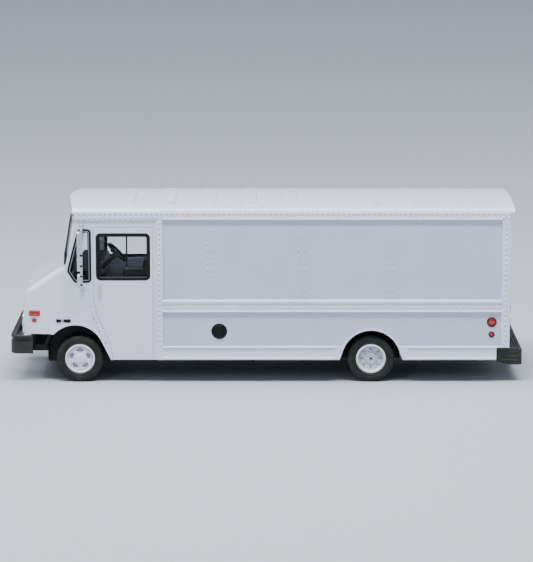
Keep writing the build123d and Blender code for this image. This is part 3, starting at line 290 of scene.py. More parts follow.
def bead(mesh, start, end, outward, width, proud):
    """Adds a half-round bead from start to end on a surface that looks outward."""
    start, end, outward = Vector(start), Vector(end), Vector(outward)
    across = outward.cross(end - start).normalized()
    rings = []
    for spot in (start, end):
        ring = []
        for step in range(bead_steps + 1):
            angle = pi * step / bead_steps
            ring.append(mesh.verts.new(spot + across * cos(angle) * width / 2 + outward * sin(angle) * proud))
        rings.append(ring)
    for step in range(bead_steps):
        mesh.faces.new((rings[0][step], rings[0][step + 1], rings[1][step + 1], rings[1][step]))
    for ring in rings:
        mesh.faces.new(ring)
    mesh.faces.new((rings[0][0], rings[0][-1], rings[1][-1], rings[1][0]))


rear_axle_x = (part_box("rear_axle")[0].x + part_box("rear_axle")[1].x) / 2
mouldings = bmesh.new()
for side in (-1, 1):
    for z, width in bead_lines:
        spans = [bead_span]
        if z < arch_top:
            spans = [(bead_span[0], rear_axle_x - rear_arch_clear), (rear_axle_x + rear_arch_clear, skirt_end)]
        for start_x, end_x in spans:
            ends = ((x, side * rail_y, z * mm) for x in (start_x, end_x))
            bead(mouldings, *ends, (0, side, 0), width * mm, bead_proud)
make_piece(mouldings, "rail_mouldings", "body", white_enamel, sharp=50)

# ---------------------------------------------------------------- windows
# One clear polystyrene moulding that plugs every window opening from inside. Its faces are polished, with a
# slight wave from the mould.
def clear_plastic():
    """Polished clear plastic, with the mould's slight wave."""
    finish, tree, shader = new_finish("clear_windows", (0.97, 0.985, 1.0), 0.03)
    shader.inputs["Transmission Weight"].default_value = 1.0
    shader.inputs["IOR"].default_value = 1.2
    shader.inputs["Specular IOR Level"].default_value = 0.3
    ripple(tree, shader, patches(tree, 3 * mm, 1.0), 0.003 * mm)
    return finish


clear_windows = clear_plastic()
paint(clear_windows, "glazing")

# ---------------------------------------------------------------- window rubbers
# Black glazing rubber round every pane: a soft bead whose outer lip laps the casting and whose inner lip lies
# on the glass. The thin pale grey line inside the quarter windows' rubbers is a painted glass-edge highlight.
rubber_width, rubber_height, rubber_lap = 0.85 * mm, 0.3 * mm, 0.1 * mm
highlight_inset, highlight_radius = 0.5 * mm, 0.075 * mm
pane_depth = 0.05 * mm
screen_rake, screen_sweep = radians(9.5), radians(5.5)


def black_rubber():
    """Dull black rubber with a fine skin."""
    finish, tree, shader = new_finish("window_rubber", (0.003, 0.003, 0.004), 0.45)
    shader.inputs["Specular IOR Level"].default_value = 0.25
    ripple(tree, shader, patches(tree, 0.5 * mm), 0.01 * mm)
    return finish


def pane_rims(outward):
    """Rims of the panes that look that way, as closed loops of points on the glass's outer face."""
    glass = bmesh.new()
    glass.from_mesh(nodes["glazing"].data)
    bmesh.ops.remove_doubles(glass, verts=glass.verts, dist=0.001 * mm)
    outward = Vector(outward).normalized()
    flat = [face for face in glass.faces if face.normal.dot(outward) > 0.9995]
    reach = max(face.calc_center_median().dot(outward) for face in flat)
    flat = [face for face in flat if face.calc_center_median().dot(outward) > reach - pane_depth]
    rim = [edge for face in flat for edge in face.edges if sum(near in flat for near in edge.link_faces) == 1]
    loops = []
    while rim:
        edge = rim.pop()
        loop = [edge.verts[0], edge.verts[1]]
        while following := [edge for edge in rim if loop[-1] in edge.verts]:
            rim.remove(following[0])
            loop.append(following[0].other_vert(loop[-1]))
        loops.append([vert.co.copy() for vert in loop[:-1]])
    glass.free()
    return loops


def rim_bead(mesh, loop, outward, section):
    """Sweeps a bead round a pane's rim. Its section is (inset from the rim, height over the glass) points."""
    outward = Vector(outward).normalized()
    middle = sum(loop, Vector()) / len(loop)
    rings = []
    count = len(loop)
    for place in range(count):
        before, here, after = loop[place - 1], loop[place], loop[(place + 1) % count]
        normals = []
        for first, second in ((before, here), (here, after)):
            normal = outward.cross(second - first).normalized()
            normals.append(normal if normal.dot(middle - first) > 0 else -normal)
        inward = (normals[0] + normals[1]).normalized()
        inward /= max(0.5, inward.dot(normals[0]))
        rings.append([mesh.verts.new(here + inward * inset + outward * height) for inset, height in section])
    join_rings(mesh, rings + [rings[0]])


window_rubber = black_rubber()
rubber_section = [
    (-rubber_lap, -rubber_lap),
    (-rubber_lap, rubber_height * 0.8),
    (rubber_width * 0.05, rubber_height),
    (rubber_width * 0.5, rubber_height * 0.9),
    (rubber_width * 0.85, rubber_height * 0.5),
    (rubber_width, 0.01 * mm),
]
highlight_section = [
    (highlight_inset + highlight_radius * cos(a * pi / 3), rubber_height * 0.9 + highlight_radius * sin(a * pi / 3))
    for a in range(6)
]
rubbers, glass_highlights = bmesh.new(), bmesh.new()
for side in (-1, 1):
    screen = Vector((-cos(screen_sweep), side * sin(screen_sweep), 0))
    screen += Vector((0, 0, cos(screen_sweep) * sin(screen_rake) / cos(screen_rake)))
    for outward in ((0, side, 0), screen):
        for loop in pane_rims(outward):
            rim_bead(rubbers, loop, outward, rubber_section)
            if outward is not screen and max(point.x for point in loop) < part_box("door_handle_left")[0].x:
                # The quarter windows also get the painted glass-edge highlight bead.
                rim_bead(glass_highlights, loop, outward, highlight_section)
make_piece(rubbers, "window_rubbers", "body", window_rubber)
# Painted highlight: this pale grey stands for the glass edge's highlight inside the quarter window rubbers.
painted_glass_highlight, tree, shader = new_finish("painted_highlight_grey", (0.35, 0.36, 0.38), 0.4)
ripple(tree, shader, patches(tree, 0.4 * mm), 0.01 * mm)
make_piece(glass_highlights, "quarter_window_glass_highlights", "body", painted_glass_highlight)

# ---------------------------------------------------------------- cab interior
# Dash, floor, engine cover and bulkhead are one injection moulding in black plastic with a fine grain. The
# steering wheel plugs on its column, the seat on its pedestal, and a grab pole runs from the floor to the roof.
cushion_base, cushion_top, back_thickness, back_overlap = 21.9 * mm, 29.0 * mm, 1.9 * mm, 2.4 * mm
piping, pad_corner = 0.18 * mm, 1.1 * mm
pedestal_size, pedestal_corner, pedestal_overlap = (4.0 * mm, 4.2 * mm), 0.8 * mm, 0.4 * mm
pole_radius, pole_spot, pole_turns, pole_drop = 0.22 * mm, (-37.4 * mm, -1.5 * mm), 10, 1.6 * mm


def black_plastic(name, colour, worn, roughness, grain):
    """Black moulding plastic with a fine grain, a little paler in patches where it is handled."""
    finish, tree, shader = new_finish(name, colour, roughness)
    shader.inputs["Specular IOR Level"].default_value = 0.22
    drift(tree, shader, patches(tree, 4 * mm), 0.4, 0.75, colour, worn)
    ripple(tree, shader, patches(tree, grain), 0.015 * mm, 0.1 * mm)
    return finish


cab_black = black_plastic("cab_black", (0.003, 0.003, 0.004), (0.006, 0.006, 0.007), 0.5, 0.3 * mm)
paint(cab_black, "interior_tub", "steering_wheel")
seat_low, seat_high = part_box("driver_seat")
seat_middle = (seat_low + seat_high) / 2
seat_width, seat_depth = seat_high.y - seat_low.y, seat_high.x - seat_low.x
seat_black = black_plastic("seat_vinyl", (0.004, 0.004, 0.005), (0.008, 0.008, 0.009), 0.42, 0.2 * mm)
seat = bmesh.new()


def seat_pad(middle, size, thickness, upward, up):
    """Adds one stuffed pad with a piped edge: thickness along upward, crowned on its face."""
    place = facing(middle, upward, up)
    steps = ((0.5 * mm, 0), (0.12 * mm, 0.15 * mm), (0, 0.45 * mm), (0, thickness * 0.55),
             (piping, thickness * 0.6), (0, thickness * 0.66), (0.1 * mm, thickness * 0.8),
             (0.5 * mm, thickness * 0.93), (1.3 * mm, thickness), (2.0 * mm, thickness * 0.985))
    raise_form(seat, place, size, pad_corner, steps)


cushion_spot = (seat_middle.x, seat_middle.y, cushion_base)
seat_pad(cushion_spot, (seat_width, seat_depth), cushion_top - cushion_base, (0, 0, 1), (1, 0, 0))
back_foot = cushion_top - back_overlap
back_spot = (seat_high.x, seat_middle.y, (back_foot + seat_high.z) / 2)
seat_pad(back_spot, (seat_width, seat_high.z - back_foot), back_thickness, (-1, 0, 0), (0, 0, 1))
pedestal = facing((seat_middle.x, seat_middle.y, seat_low.z), (0, 0, 1), (1, 0, 0))
pedestal_rise = cushion_base - seat_low.z + pedestal_overlap
pedestal_steps = ((0, 0), (0, 0.3 * mm), (0.5 * mm, 0.6 * mm), (0.5 * mm, pedestal_rise))
raise_form(seat, pedestal, pedestal_size, pedestal_corner, pedestal_steps)
make_piece(seat, "seat_pads", "body", seat_black, ["driver_seat"])
pole = bmesh.new()
rings = []
for z in (seat_low.z, body_high.z - pole_drop):
    ring = []
    for turn in range(pole_turns):
        angle = 2 * pi * turn / pole_turns
        x, y = pole_spot[0] + pole_radius * cos(angle), pole_spot[1] + pole_radius * sin(angle)
        ring.append(pole.verts.new((x, y, z)))
    rings.append(ring)
join_rings(pole, rings)
for ring in rings:
    pole.faces.new(ring)
make_piece(pole, "grab_pole", "body", cab_black)

# ---------------------------------------------------------------- base, underframe and bumpers
# The base plate with its wheel tunnels, the frame with springs, sleeves, tank and gearbox, and both bumpers
# are moulded in black plastic. The bumpers are a little greyer.
base_black = black_plastic("base_black", (0.006, 0.006, 0.007), (0.011, 0.011, 0.011), 0.5, 0.35 * mm)
bumper_black = black_plastic("bumper_black", (0.024, 0.024, 0.022), (0.04, 0.04, 0.036), 0.42, 0.4 * mm)
paint(base_black, "chassis_base", "running_gear")
paint(bumper_black, "front_bumper", "rear_bumper")

# ---------------------------------------------------------------- wheel housings
# Black arched liners inside each wheel opening, moulded in plastic with the base. Each is closed toward the
# middle of the truck, so that no light passes beside the tyres.
housings = (  # arch centre x and z, radius, flare of the rear edge, depth of the inner wall
    (-50.1 * mm, 7.7 * mm, 7.4 * mm, radians(26.5), 13.4 * mm),
    (rear_axle_x, 6.3 * mm, 7.6 * mm, 0.0, 9.8 * mm),
)
liner_foot, inner_drop, liner_setback, liner_steps = 6.3 * mm, 1.5 * mm, 0.9 * mm, 28
liners = bmesh.new()
for centre_x, centre_z, radius, flare, inner_y in housings:
    angles = [flare + (pi - flare) * step / liner_steps for step in range(liner_steps + 1)]
    line = [Vector((cos(angle), sin(angle))) * radius for angle in angles]
    run = (line[0].y + centre_z - liner_foot) / cos(flare)
    line.insert(0, line[0] + Vector((sin(flare), -cos(flare))) * run)
    line.append(Vector((line[-1].x, liner_foot - centre_z)))
    for side in (-1, 1):
        arcs = []
        for y, drop in ((panel_y - liner_setback, 0), (inner_y, inner_drop)):
            feet = [drop if point in (line[0], line[-1]) else 0 for point in line]
            arcs.append([liners.verts.new((centre_x + point.x, side * y, centre_z + point.y - foot))
                         for point, foot in zip(line, feet)])
        for step in range(len(line) - 1):
            liners.faces.new((arcs[0][step], arcs[0][step + 1], arcs[1][step + 1], arcs[1][step]))
        liners.faces.new(arcs[1])
make_piece(liners, "wheel_housings", "body", base_black)

# ---------------------------------------------------------------- axles and base screws
# Two drawn steel axle pins that turn in the base's sleeves, and the two cross-head steel screws that hold the
# base to the body's posts.
def bright_metal(name, colour, roughness, grain):
    """Bare or silvered metal, with fine marks from its making."""
    finish, tree, shader = new_finish(name, colour, roughness)
    shader.inputs["Metallic"].default_value = 0.9
    ripple(tree, shader, patches(tree, grain), 0.008 * mm, 0.06 * mm)
    return finish


steel = bright_metal("drawn_steel", (0.5, 0.5, 0.52), 0.3, 0.2 * mm)
paint(steel, "front_axle", "rear_axle", "base_screws")

# ---------------------------------------------------------------- rear bumper's ribs
# Three half-round ribs along the back and the ends of the rear step bumper, moulded in black plastic in one
# piece with it.
rib_heights, rib_width = (1.1 * mm, 2.2 * mm, 3.3 * mm), 0.45 * mm
rib_reach, rib_sink = 16 * mm, 0.12 * mm
end_rib_margins, end_rib_proud = (1.4 * mm, 1.1 * mm), 0.14 * mm
step_low, step_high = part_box("rear_bumper")
ribs = bmesh.new()
for z in (step_low.z + rise for rise in rib_heights):
    for side in (-1, 1):
        end_rib = (step_low.x + end_rib_margins[0], step_high.x - end_rib_margins[1])
        ends = ((x, side * step_high.y, z) for x in end_rib)
        bead(ribs, *ends, (0, side, 0), rib_width, end_rib_proud)
    ends = ((step_high.x - rib_sink, y, z) for y in (-rib_reach, rib_reach))
    bead(ribs, *ends, (1, 0, 0), rib_width, rib_sink)
make_piece(ribs, "rear_bumper_ribs", "body", bumper_black, sharp=50)

# ---------------------------------------------------------------- grille and headlamps
# A black slotted grille between two sealed-beam headlamps in silver bezels, under round amber turn lamps.
# The headlamp lenses are clear, with pressed flutes, over a bright reflector.
trim_black = black_plastic("trim_black", (0.002, 0.002, 0.003), (0.005, 0.005, 0.006), 0.3, 0.3 * mm)
silver = bright_metal("silver_paint", (0.66, 0.66, 0.68), 0.28, 0.35 * mm)
paint(trim_black, "grille", "wiper")
nose_out = Vector((-11.2, 0, 0.8)).normalized()


def lens(name, bright, deep):
    """Coloured lens plastic: deeper where it is thick, with a polished skin."""
    finish, tree, shader = new_finish(name, bright, 0.16)
    shader.inputs["Coat Weight"].default_value = 0.35
    shader.inputs["Coat Roughness"].default_value = 0.05
    drift(tree, shader, patches(tree, 0.5 * mm), 0.35, 0.65, deep, bright)
    ripple(tree, shader, patches(tree, 0.35 * mm), 0.006 * mm, 0.06 * mm)
    return finish


def face_spot(node, outward):
    """Centre of a CAD node's box, moved out to the node's outermost face."""
    low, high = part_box(node)
    outward = Vector(outward).normalized()
    middle = (low + high) / 2
    reach = max(vert.co.dot(outward) for vert in nodes[node].data.vertices)
    return middle + outward * (reach - middle.dot(outward))


def dome_steps(proud, radius, count=5):
    """Outlines of a shallow dome that rises by proud from its rim."""
    angles = [pi / 2 * step / count for step in range(count)]
    return [(radius * (1 - cos(angle)), proud * sin(angle)) for angle in angles]


amber_lens = lens("amber_lens", (0.66, 0.13, 0.004), (0.4, 0.05, 0.002))
red_lens = lens("red_lens", (0.62, 0.03, 0.02), (0.42, 0.01, 0.008))
marker_red_lens = lens("marker_red_lens", (0.46, 0.014, 0.004), (0.24, 0.003, 0.001))
dark_red_lens = lens("dark_red_lens", (0.07, 0.002, 0.004), (0.035, 0.001, 0.002))
lamp_glass, tree, shader = new_finish("lamp_glass", (0.86, 0.88, 0.92), 0.08)
shader.inputs["Metallic"].default_value = 0.55
shader.inputs["Coat Weight"].default_value = 1.0
ripple(tree, shader, patches(tree, 0.25 * mm), 0.012 * mm, 0.05 * mm)

bezel_radius, bezel_width, lamp_proud = 2.1 * mm, 0.5 * mm, 0.25 * mm
bezel_steps = (
    (0, -0.1 * mm), (0, lamp_proud * 0.6), (0.1 * mm, lamp_proud), (0.3 * mm, lamp_proud),
    (bezel_width, lamp_proud * 0.2), (bezel_width + 0.02 * mm, -0.3 * mm),
)
glass_radius, glass_proud, glass_depth = bezel_radius - bezel_width - 0.02 * mm, lamp_proud * 0.8, 0.25 * mm
flute_count, flute_width, flute_proud = 7, 0.26 * mm, 0.09 * mm
flute_length, flute_slope = 0.86, 0.72  # shares of the glass's chord there and of its dome
flute_sink = 0.03 * mm
turn_radius, turn_rim, turn_seat = 1.55 * mm, 0.22 * mm, 0.04 * mm
for hand in ("left", "right"):
    spot = face_spot(f"headlamp_bezel_{hand}", nose_out)
    place = facing(spot - nose_out * lamp_proud, nose_out)
    bezel = bmesh.new()
    raise_form(bezel, place, (2 * bezel_radius,) * 2, bezel_radius, bezel_steps, arc=10)
    bezel_node = f"headlamp_bezel_{hand}"
    make_piece(bezel, f"headlamp_bezel_detail_{hand}", "body", silver, [bezel_node])
    glass = bmesh.new()
    dome = [(0, -glass_depth)] + dome_steps(glass_proud, glass_radius)
    raise_form(glass, place, (2 * glass_radius,) * 2, glass_radius, dome, arc=10)
    for flute in range(flute_count):
        across = (flute - (flute_count - 1) / 2) * 2 * glass_radius / (flute_count + 1)
        reach = (glass_radius ** 2 - across ** 2) ** 0.5 * flute_length
        height = glass_proud * (1 - (across / glass_radius) ** 2) ** 0.5 - flute_sink
        ends = (place @ Vector((across, end * reach, height * flute_slope)) for end in (-1, 1))
        bead(glass, *ends, nose_out, flute_width, flute_proud)
    make_piece(glass, f"headlamp_glass_{hand}", "body", lamp_glass, [f"headlamp_lens_{hand}"])
    spot = face_spot(f"turn_lamp_{hand}", nose_out)
    place = facing(spot - nose_out * lamp_proud, nose_out)
    lamp = bmesh.new()
    rim = [(0, -0.1 * mm), (0, 0.1 * mm), (0.18 * mm, 0.12 * mm), (turn_rim, turn_seat)]
    dome = dome_steps(lamp_proud - turn_seat, turn_radius - turn_rim)
    dome = [(turn_rim + inset, turn_seat + rise) for inset, rise in dome]
    raise_form(lamp, place, (2 * turn_radius,) * 2, turn_radius, rim + dome, arc=8)
    make_piece(lamp, f"turn_lamp_dome_{hand}", "body", amber_lens, [f"turn_lamp_{hand}"])

# ---------------------------------------------------------------- side markers and rear lamps
# Press-in lenses: a rectangular red marker over a round reflector on each side of the nose, a large and a
# small red lamp low on each rear side, three on each side of the rear door, and five over it and the screen.
marker_size, marker_corner, reflector_radius = (2.9 * mm, 1.4 * mm), 0.15 * mm, 0.62 * mm
marker_steps = (
    (0, -0.1 * mm), (0, 0.16 * mm), (0.1 * mm, 0.24 * mm), (0.3 * mm, 0.25 * mm),
    (0.36 * mm, 0.18 * mm), (0.55 * mm, 0.24 * mm),
)
dome_proud = 0.24 * mm
side_lamps = ((1.3 * mm, 0.86 * mm), (0.8 * mm, 0.4 * mm))  # radius of each over its rim and of its lens
tail_lamp, tail_rows = (1.15 * mm, 0.8 * mm), (13.4 * mm, 16.4 * mm, 19.4 * mm)


def round_lamp(rim_mesh, lens_mesh, place, radius, lens_radius):
    """Adds a lamp's holder ring and the domed lens inside it."""
    rim = radius - lens_radius
    ring = ((0, -0.1 * mm), (0, 0.14 * mm), (0.08 * mm, 0.2 * mm), (rim, 0.16 * mm), (rim, -0.05 * mm))
    raise_form(rim_mesh, place, (2 * radius,) * 2, radius, ring, arc=8)
    dome = [(0, -0.04 * mm)] + dome_steps(dome_proud, lens_radius)
    raise_form(lens_mesh, place, (2 * lens_radius,) * 2, lens_radius, dome, arc=8)


paint(amber_lens, "roof_lamps_front")
paint(red_lens, "roof_lamps_rear")
for side, hand in ((-1, "left"), (1, "right")):
    node = f"side_marker_{hand}"
    low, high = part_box(node)
    taper = max(nodes[node].data.polygons, key=lambda face: face.area * max(0, side * face.normal.y)).normal
    spot = face_spot(node, taper) - taper * lamp_proud
    marker = bmesh.new()
    marker_spot = Vector((spot.x, spot.y, high.z - marker_size[1] / 2))
    raise_form(marker, facing(marker_spot, taper), marker_size, marker_corner, marker_steps)
    reflector_spot = Vector((spot.x, spot.y, low.z + reflector_radius))
    dome = [(0, -0.1 * mm)] + dome_steps(dome_proud, reflector_radius)
    raise_form(marker, facing(reflector_spot, taper), (2 * reflector_radius,) * 2, reflector_radius, dome)
    make_piece(marker, f"side_marker_lenses_{hand}", "body", marker_red_lens, [node])

    rims, lenses = bmesh.new(), bmesh.new()
    node = f"rear_side_lamps_{hand}"
    low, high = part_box(node)
    spot = face_spot(node, (0, side, 0)) - Vector((0, side * lamp_proud, 0))
    for z, lamp in zip((high.z - side_lamps[0][0], low.z + side_lamps[1][0]), side_lamps):
        round_lamp(rims, lenses, facing((spot.x, spot.y, z), (0, side, 0)), *lamp)
    tail_nodes = f"tail_lamps_{hand}"
    spot = face_spot(tail_nodes, (1, 0, 0)) - Vector((lamp_proud, 0, 0))
    for z in tail_rows:
        round_lamp(rims, lenses, facing((spot.x, spot.y, z), (1, 0, 0)), *tail_lamp)
    make_piece(rims, f"lamp_rims_{hand}", "body", dark_red_lens, [node])
    make_piece(lenses, f"rear_lamp_lenses_{hand}", "body", red_lens, [tail_nodes])

# ---------------------------------------------------------------- fuel cap and hood latches
# A screwed filler cap on the left side, gloss black with a grip rim and a pressed ring, and two-lobed black
# hood latches over the front arches.
latch_lobes, lobe_height, lobe_corner = (1.2 * mm, 1.9 * mm), 0.8 * mm, 0.38 * mm
lobe_steps = ((0, -0.6 * mm), (0, -0.05 * mm), (0.08 * mm, 0.0), (0.2 * mm, 0.01 * mm))
cap_radius = 2.05 * mm
cap_steps = (
    (0, -0.1 * mm), (0, 0.08 * mm), (0.12 * mm, 0.12 * mm), (0.32 * mm, 0.12 * mm), (0.36 * mm, 0.3 * mm),
    (0.46 * mm, 0.38 * mm), (0.85 * mm, 0.38 * mm), (0.9 * mm, 0.3 * mm), (1.15 * mm, 0.3 * mm),
    (1.2 * mm, 0.36 * mm), (1.6 * mm, 0.39 * mm),
)
grip_count, grip_inset, grip_span = 24, 0.4 * mm, (0.1 * mm, 0.34 * mm)
grip_width, grip_proud = 0.2 * mm, 0.07 * mm
for side, hand in ((-1, "left"), (1, "right")):
    node = f"hood_latch_{hand}"
    low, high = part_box(node)
    faces = nodes[node].data.polygons
    flank = max(faces, key=lambda face: face.area * max(0, side * face.normal.y)).normal.copy()
    spot = face_spot(node, flank)
    latch = bmesh.new()
    lobe_middles = (low.x + latch_lobes[0] / 2, high.x - latch_lobes[1] / 2)
    for x, length in zip(lobe_middles, latch_lobes):
        raise_form(latch, facing((x, spot.y, spot.z), flank), (length, lobe_height), lobe_corner, lobe_steps)
    make_piece(latch, f"hood_latch_lobes_{hand}", "body", trim_black, [node])
cap_out = Vector((0, -1, 0))
cap_face = face_spot("fuel_cap", cap_out)
cap_place = facing(Vector((cap_face.x, -panel_y, cap_face.z)), cap_out)
cap = bmesh.new()
raise_form(cap, cap_place, (2 * cap_radius,) * 2, cap_radius, cap_steps, arc=10)
for turn in range(grip_count):
    angle = 2 * pi * turn / grip_count
    reach = cap_radius - grip_inset
    ends = (cap_place @ Vector((reach * cos(angle), reach * sin(angle), rise)) for rise in grip_span)
    radial = (cap_place.to_3x3() @ Vector((cos(angle), sin(angle), 0))).normalized()
    bead(cap, *ends, radial, grip_width, grip_proud)
make_piece(cap, "fuel_cap_grip", "body", trim_black, ["fuel_cap"])

# ---------------------------------------------------------------- mirrors and door handles
# Silver-painted west-coast mirrors on a bent bar, each with a flat head over a small convex one: a bright
# glass on the side toward the driver, and dark clamps where the heads grip the bar. The pulls are silver too.
paint(silver, "mirror", "door_handle", "rear_door_handle")
mirror_glass = bright_metal("mirror_glass", (0.85, 0.87, 0.9), 0.04, 2 * mm)
flat_glass = ((30.3 * mm, 40.7 * mm), 0.08 * mm)  # foot and head, and bulge
convex_glass = ((25.9 * mm, 29.5 * mm), 0.2 * mm)
head_width, head_corner, head_rim, glass_sink = 2.7 * mm, 0.5 * mm, 0.5 * mm, 0.02 * mm
clamp_heights = (34.4 * mm, 31.6 * mm, 28.9 * mm, 26.6 * mm)
clamp_size, clamp_corner = (0.62 * mm, 0.5 * mm), 0.1 * mm
clamp_behind, clamp_aside = 0.3 * mm, 0.28 * mm
clamp_steps = ((0, -0.62 * mm), (0, 0.05 * mm), (0.08 * mm, 0.1 * mm))
for side, hand in ((-1, "left"), (1, "right")):
    low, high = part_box(f"mirror_heads_{hand}")
    middle_y = (low.y + high.y) / 2
    glasses, clamps = bmesh.new(), bmesh.new()
    for (foot_z, head_z), bulge in (flat_glass, convex_glass):
        place = facing((high.x - glass_sink, middle_y, (foot_z + head_z) / 2), (1, 0, 0))
        size = (head_width - head_rim, head_z - foot_z - head_rim)
        steps = ((0, 0), (0.02 * mm, bulge * 0.3), (0.4 * mm, bulge * 0.8), (0.9 * mm, bulge))
        raise_form(glasses, place, size, head_corner, steps)
    for z in clamp_heights:
        place = facing((high.x + clamp_behind, middle_y + side * clamp_aside, z), (0, side, 0))
        raise_form(clamps, place, clamp_size, clamp_corner, clamp_steps)
    make_piece(glasses, f"mirror_glass_{hand}", "body", mirror_glass)
    make_piece(clamps, f"mirror_clamps_{hand}", "body", trim_black)

# ---------------------------------------------------------------- tyres
# Soft rubber tyres pressed over the rims, with blocks round each shoulder, two grooves round the tread and
# raised rings on the sidewalls. The rear wheels carry two on each hub.
tyre_turns, block_turns, notch_turns = 120, 5, 2  # steps round the tyre, in a block and its notch, in the notch
bead_radius = 3.97 * mm
tyre_rubber, tree, shader = new_finish("tyre_rubber", (0.012, 0.012, 0.012), 0.65)
shader.inputs["Specular IOR Level"].default_value = 0.3
drift(tree, shader, patches(tree, 2 * mm), 0.4, 0.7, (0.011, 0.011, 0.011), (0.022, 0.021, 0.019))
ripple(tree, shader, patches(tree, 0.25 * mm), 0.012 * mm)


def make_tyre(node, body):
    """Turns one tyre to its CAD node's size, cutting the shoulder notches as it goes round."""
    low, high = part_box(node)
    centre, outer, width = (low + high) / 2, (high.z - low.z) / 2, high.y - low.y
    half_section = (  # in from a sidewall, radius, and depth of the notch there
        (0.35 * mm, bead_radius, 0),
        (0.12 * mm, bead_radius + 0.15 * mm, 0),
        (0.0, bead_radius + 0.4 * mm, 0),
        (0.09 * mm, bead_radius + 0.48 * mm, 0),
        (0.09 * mm, bead_radius + 0.75 * mm, 0),
        (0.0, bead_radius + 0.85 * mm, 0),
        (0.0, bead_radius + 1.2 * mm, 0),
        (0.08 * mm, bead_radius + 1.28 * mm, 0),
        (0.04 * mm, outer - 0.62 * mm, 0),
        (0.1 * mm, outer - 0.45 * mm, 0.14 * mm),
        (0.24 * mm, outer - 0.14 * mm, 0.2 * mm),
        (0.5 * mm, outer, 0.2 * mm),
        (0.92 * mm, outer, 0.1 * mm),
        (0.96 * mm, outer - 0.2 * mm, 0),
        (1.2 * mm, outer - 0.2 * mm, 0),
        (1.24 * mm, outer, 0),
    )
    section = list(half_section) + [(width - x, radius, notch) for x, radius, notch in reversed(half_section)]
    tyre = bmesh.new()
    rings = []
    for turn in range(tyre_turns):
        angle = 2 * pi * turn / tyre_turns
        cut = 1 if turn % block_turns < notch_turns else 0
        ring = []
        for depth, radius, notch in section:
            reach = radius - notch * cut
            x, z = centre.x + reach * cos(angle), centre.z + reach * sin(angle)
            ring.append(tyre.verts.new((x, low.y + depth, z)))
        rings.append(ring)
    join_rings(tyre, rings + [rings[0]])
    make_piece(tyre, node.replace("tyre", "tyre_tread"), body, tyre_rubber, [node], sharp=40)


for hand in ("left", "right"):
    make_tyre(f"front_tyre_{hand}", "front_wheelset")
    make_tyre(f"rear_outer_tyre_{hand}", "rear_wheelset")
    make_tyre(f"rear_inner_tyre_{hand}", "rear_wheelset")

# ---------------------------------------------------------------- wheel hubs
# Moulded white plastic wheels. The front ones are dished discs with five hand holes closed from behind, the
# rear ones deep dual wheels, and both have ten nuts round a capped boss. The rear dish is coloured grey as
# painted shade in its depth, and the pocket floors that close the hand holes are darker painted shade.
wheel_white, tree, shader = new_finish("wheel_white", (0.74, 0.75, 0.81), 0.3)
ripple(tree, shader, patches(tree, 0.6 * mm), 0.008 * mm, 0.07 * mm)
paint(wheel_white, "front_hub", "rear_hub")
# Painted shade: the rear wheels' dish is coloured grey for the shade in its depth, with a random mottle.
painted_dish_shade, tree, shader = new_finish("rear_dish_painted_shade", (0.5, 0.51, 0.58), 0.4)
drift(tree, shader, patches(tree, 0.7 * mm), 0.4, 0.65, (0.42, 0.43, 0.5), (0.62, 0.63, 0.7))
ripple(tree, shader, patches(tree, 0.6 * mm), 0.008 * mm, 0.07 * mm)
# Painted shade: the pocket floors are coloured dark grey-blue for the shade inside the hand holes.
wheel_shade, tree, shader = new_finish("wheel_pocket_painted_shade", (0.26, 0.27, 0.36), 0.5)
ripple(tree, shader, patches(tree, 0.6 * mm), 0.008 * mm)
wheel_dark, tree, shader = new_finish("axle_end", (0.02, 0.02, 0.025), 0.5)
ripple(tree, shader, patches(tree, 0.4 * mm), 0.01 * mm)
face_turns, face_step = 160, 0.11 * mm
pocket_edge, pocket_slope, floor_margin, floor_lip = 1.2, 0.45, 0.1, 0.05 * mm
# In mm: (radius, depth) points; pocket count, ring radius, length, width and depth; nut ring and depth; and the
# depth of the pockets' floor.
wheel_faces = {
    "front": (((3.2, 0.85), (3.08, 0.62), (2.98, 0.46), (2.85, 0.4), (1.5, 0.34), (1.3, 0.3), (1.1, 0.14),
               (0.6, 0.08), (0.5, 0.16), (0.34, 0.16), (0.26, 0.06), (0.1, 0.04)),
              (5, 2.34, 1.9, 1.15, 0.46), (1.3, 0.36), 0.76),
    "rear": (((3.12, 1.25), (3.0, 1.02), (2.88, 0.94), (2.3, 1.0), (1.9, 1.14), (1.75, 1.14), (1.6, 1.0),
              (1.45, 0.84), (1.3, 0.8), (0.85, 0.78), (0.75, 0.9), (0.5, 0.9), (0.4, 0.72), (0.1, 0.7)),
             (8, 2.5, 0.8, 0.6, 0.3), (1.86, 1.14), 1.2),
}
nut_count, nut_size = 10, 0.36 * mm
nut_steps = ((0, -0.1 * mm), (0, 0.1 * mm), (0.05 * mm, 0.14 * mm), (0.1 * mm, 0.15 * mm))
cap_end_radius, cap_end_depth, cap_end_proud = 0.33 * mm, 0.7 * mm, 0.1 * mm


def wheel_face(mesh, place, points, pockets):
    """Adds a dished wheel face whose pockets are pressed in at even angles, the first at the top."""
    count, ring_radius, length, width, pressed = pockets
    line = [Vector(point) * mm for point in points]
    fine = []
    for first, second in zip(line, line[1:]):
        steps = max(1, round((second - first).length / face_step))
        fine += [first.lerp(second, step / steps) for step in range(steps)]
    rings = []
    for radius, depth in fine + line[-1:]:
        ring = []
        for turn in range(face_turns):
            angle = 2 * pi * turn / face_turns
            pocket = 2 * pi / count
            off = (angle - pi / 2 + pocket / 2) % pocket - pocket / 2
            reach = ((radius / mm - ring_radius) / width * 2) ** 2 + (radius / mm * off / length * 2) ** 2
            press = pressed * mm * min(1, max(0, (pocket_edge - reach) / pocket_slope))
            spot = Vector((radius * cos(angle), radius * sin(angle), -depth - press))
            ring.append(mesh.verts.new(place @ spot))
        rings.append(ring)
    join_rings(mesh, rings)
    mesh.faces.new(rings[-1])


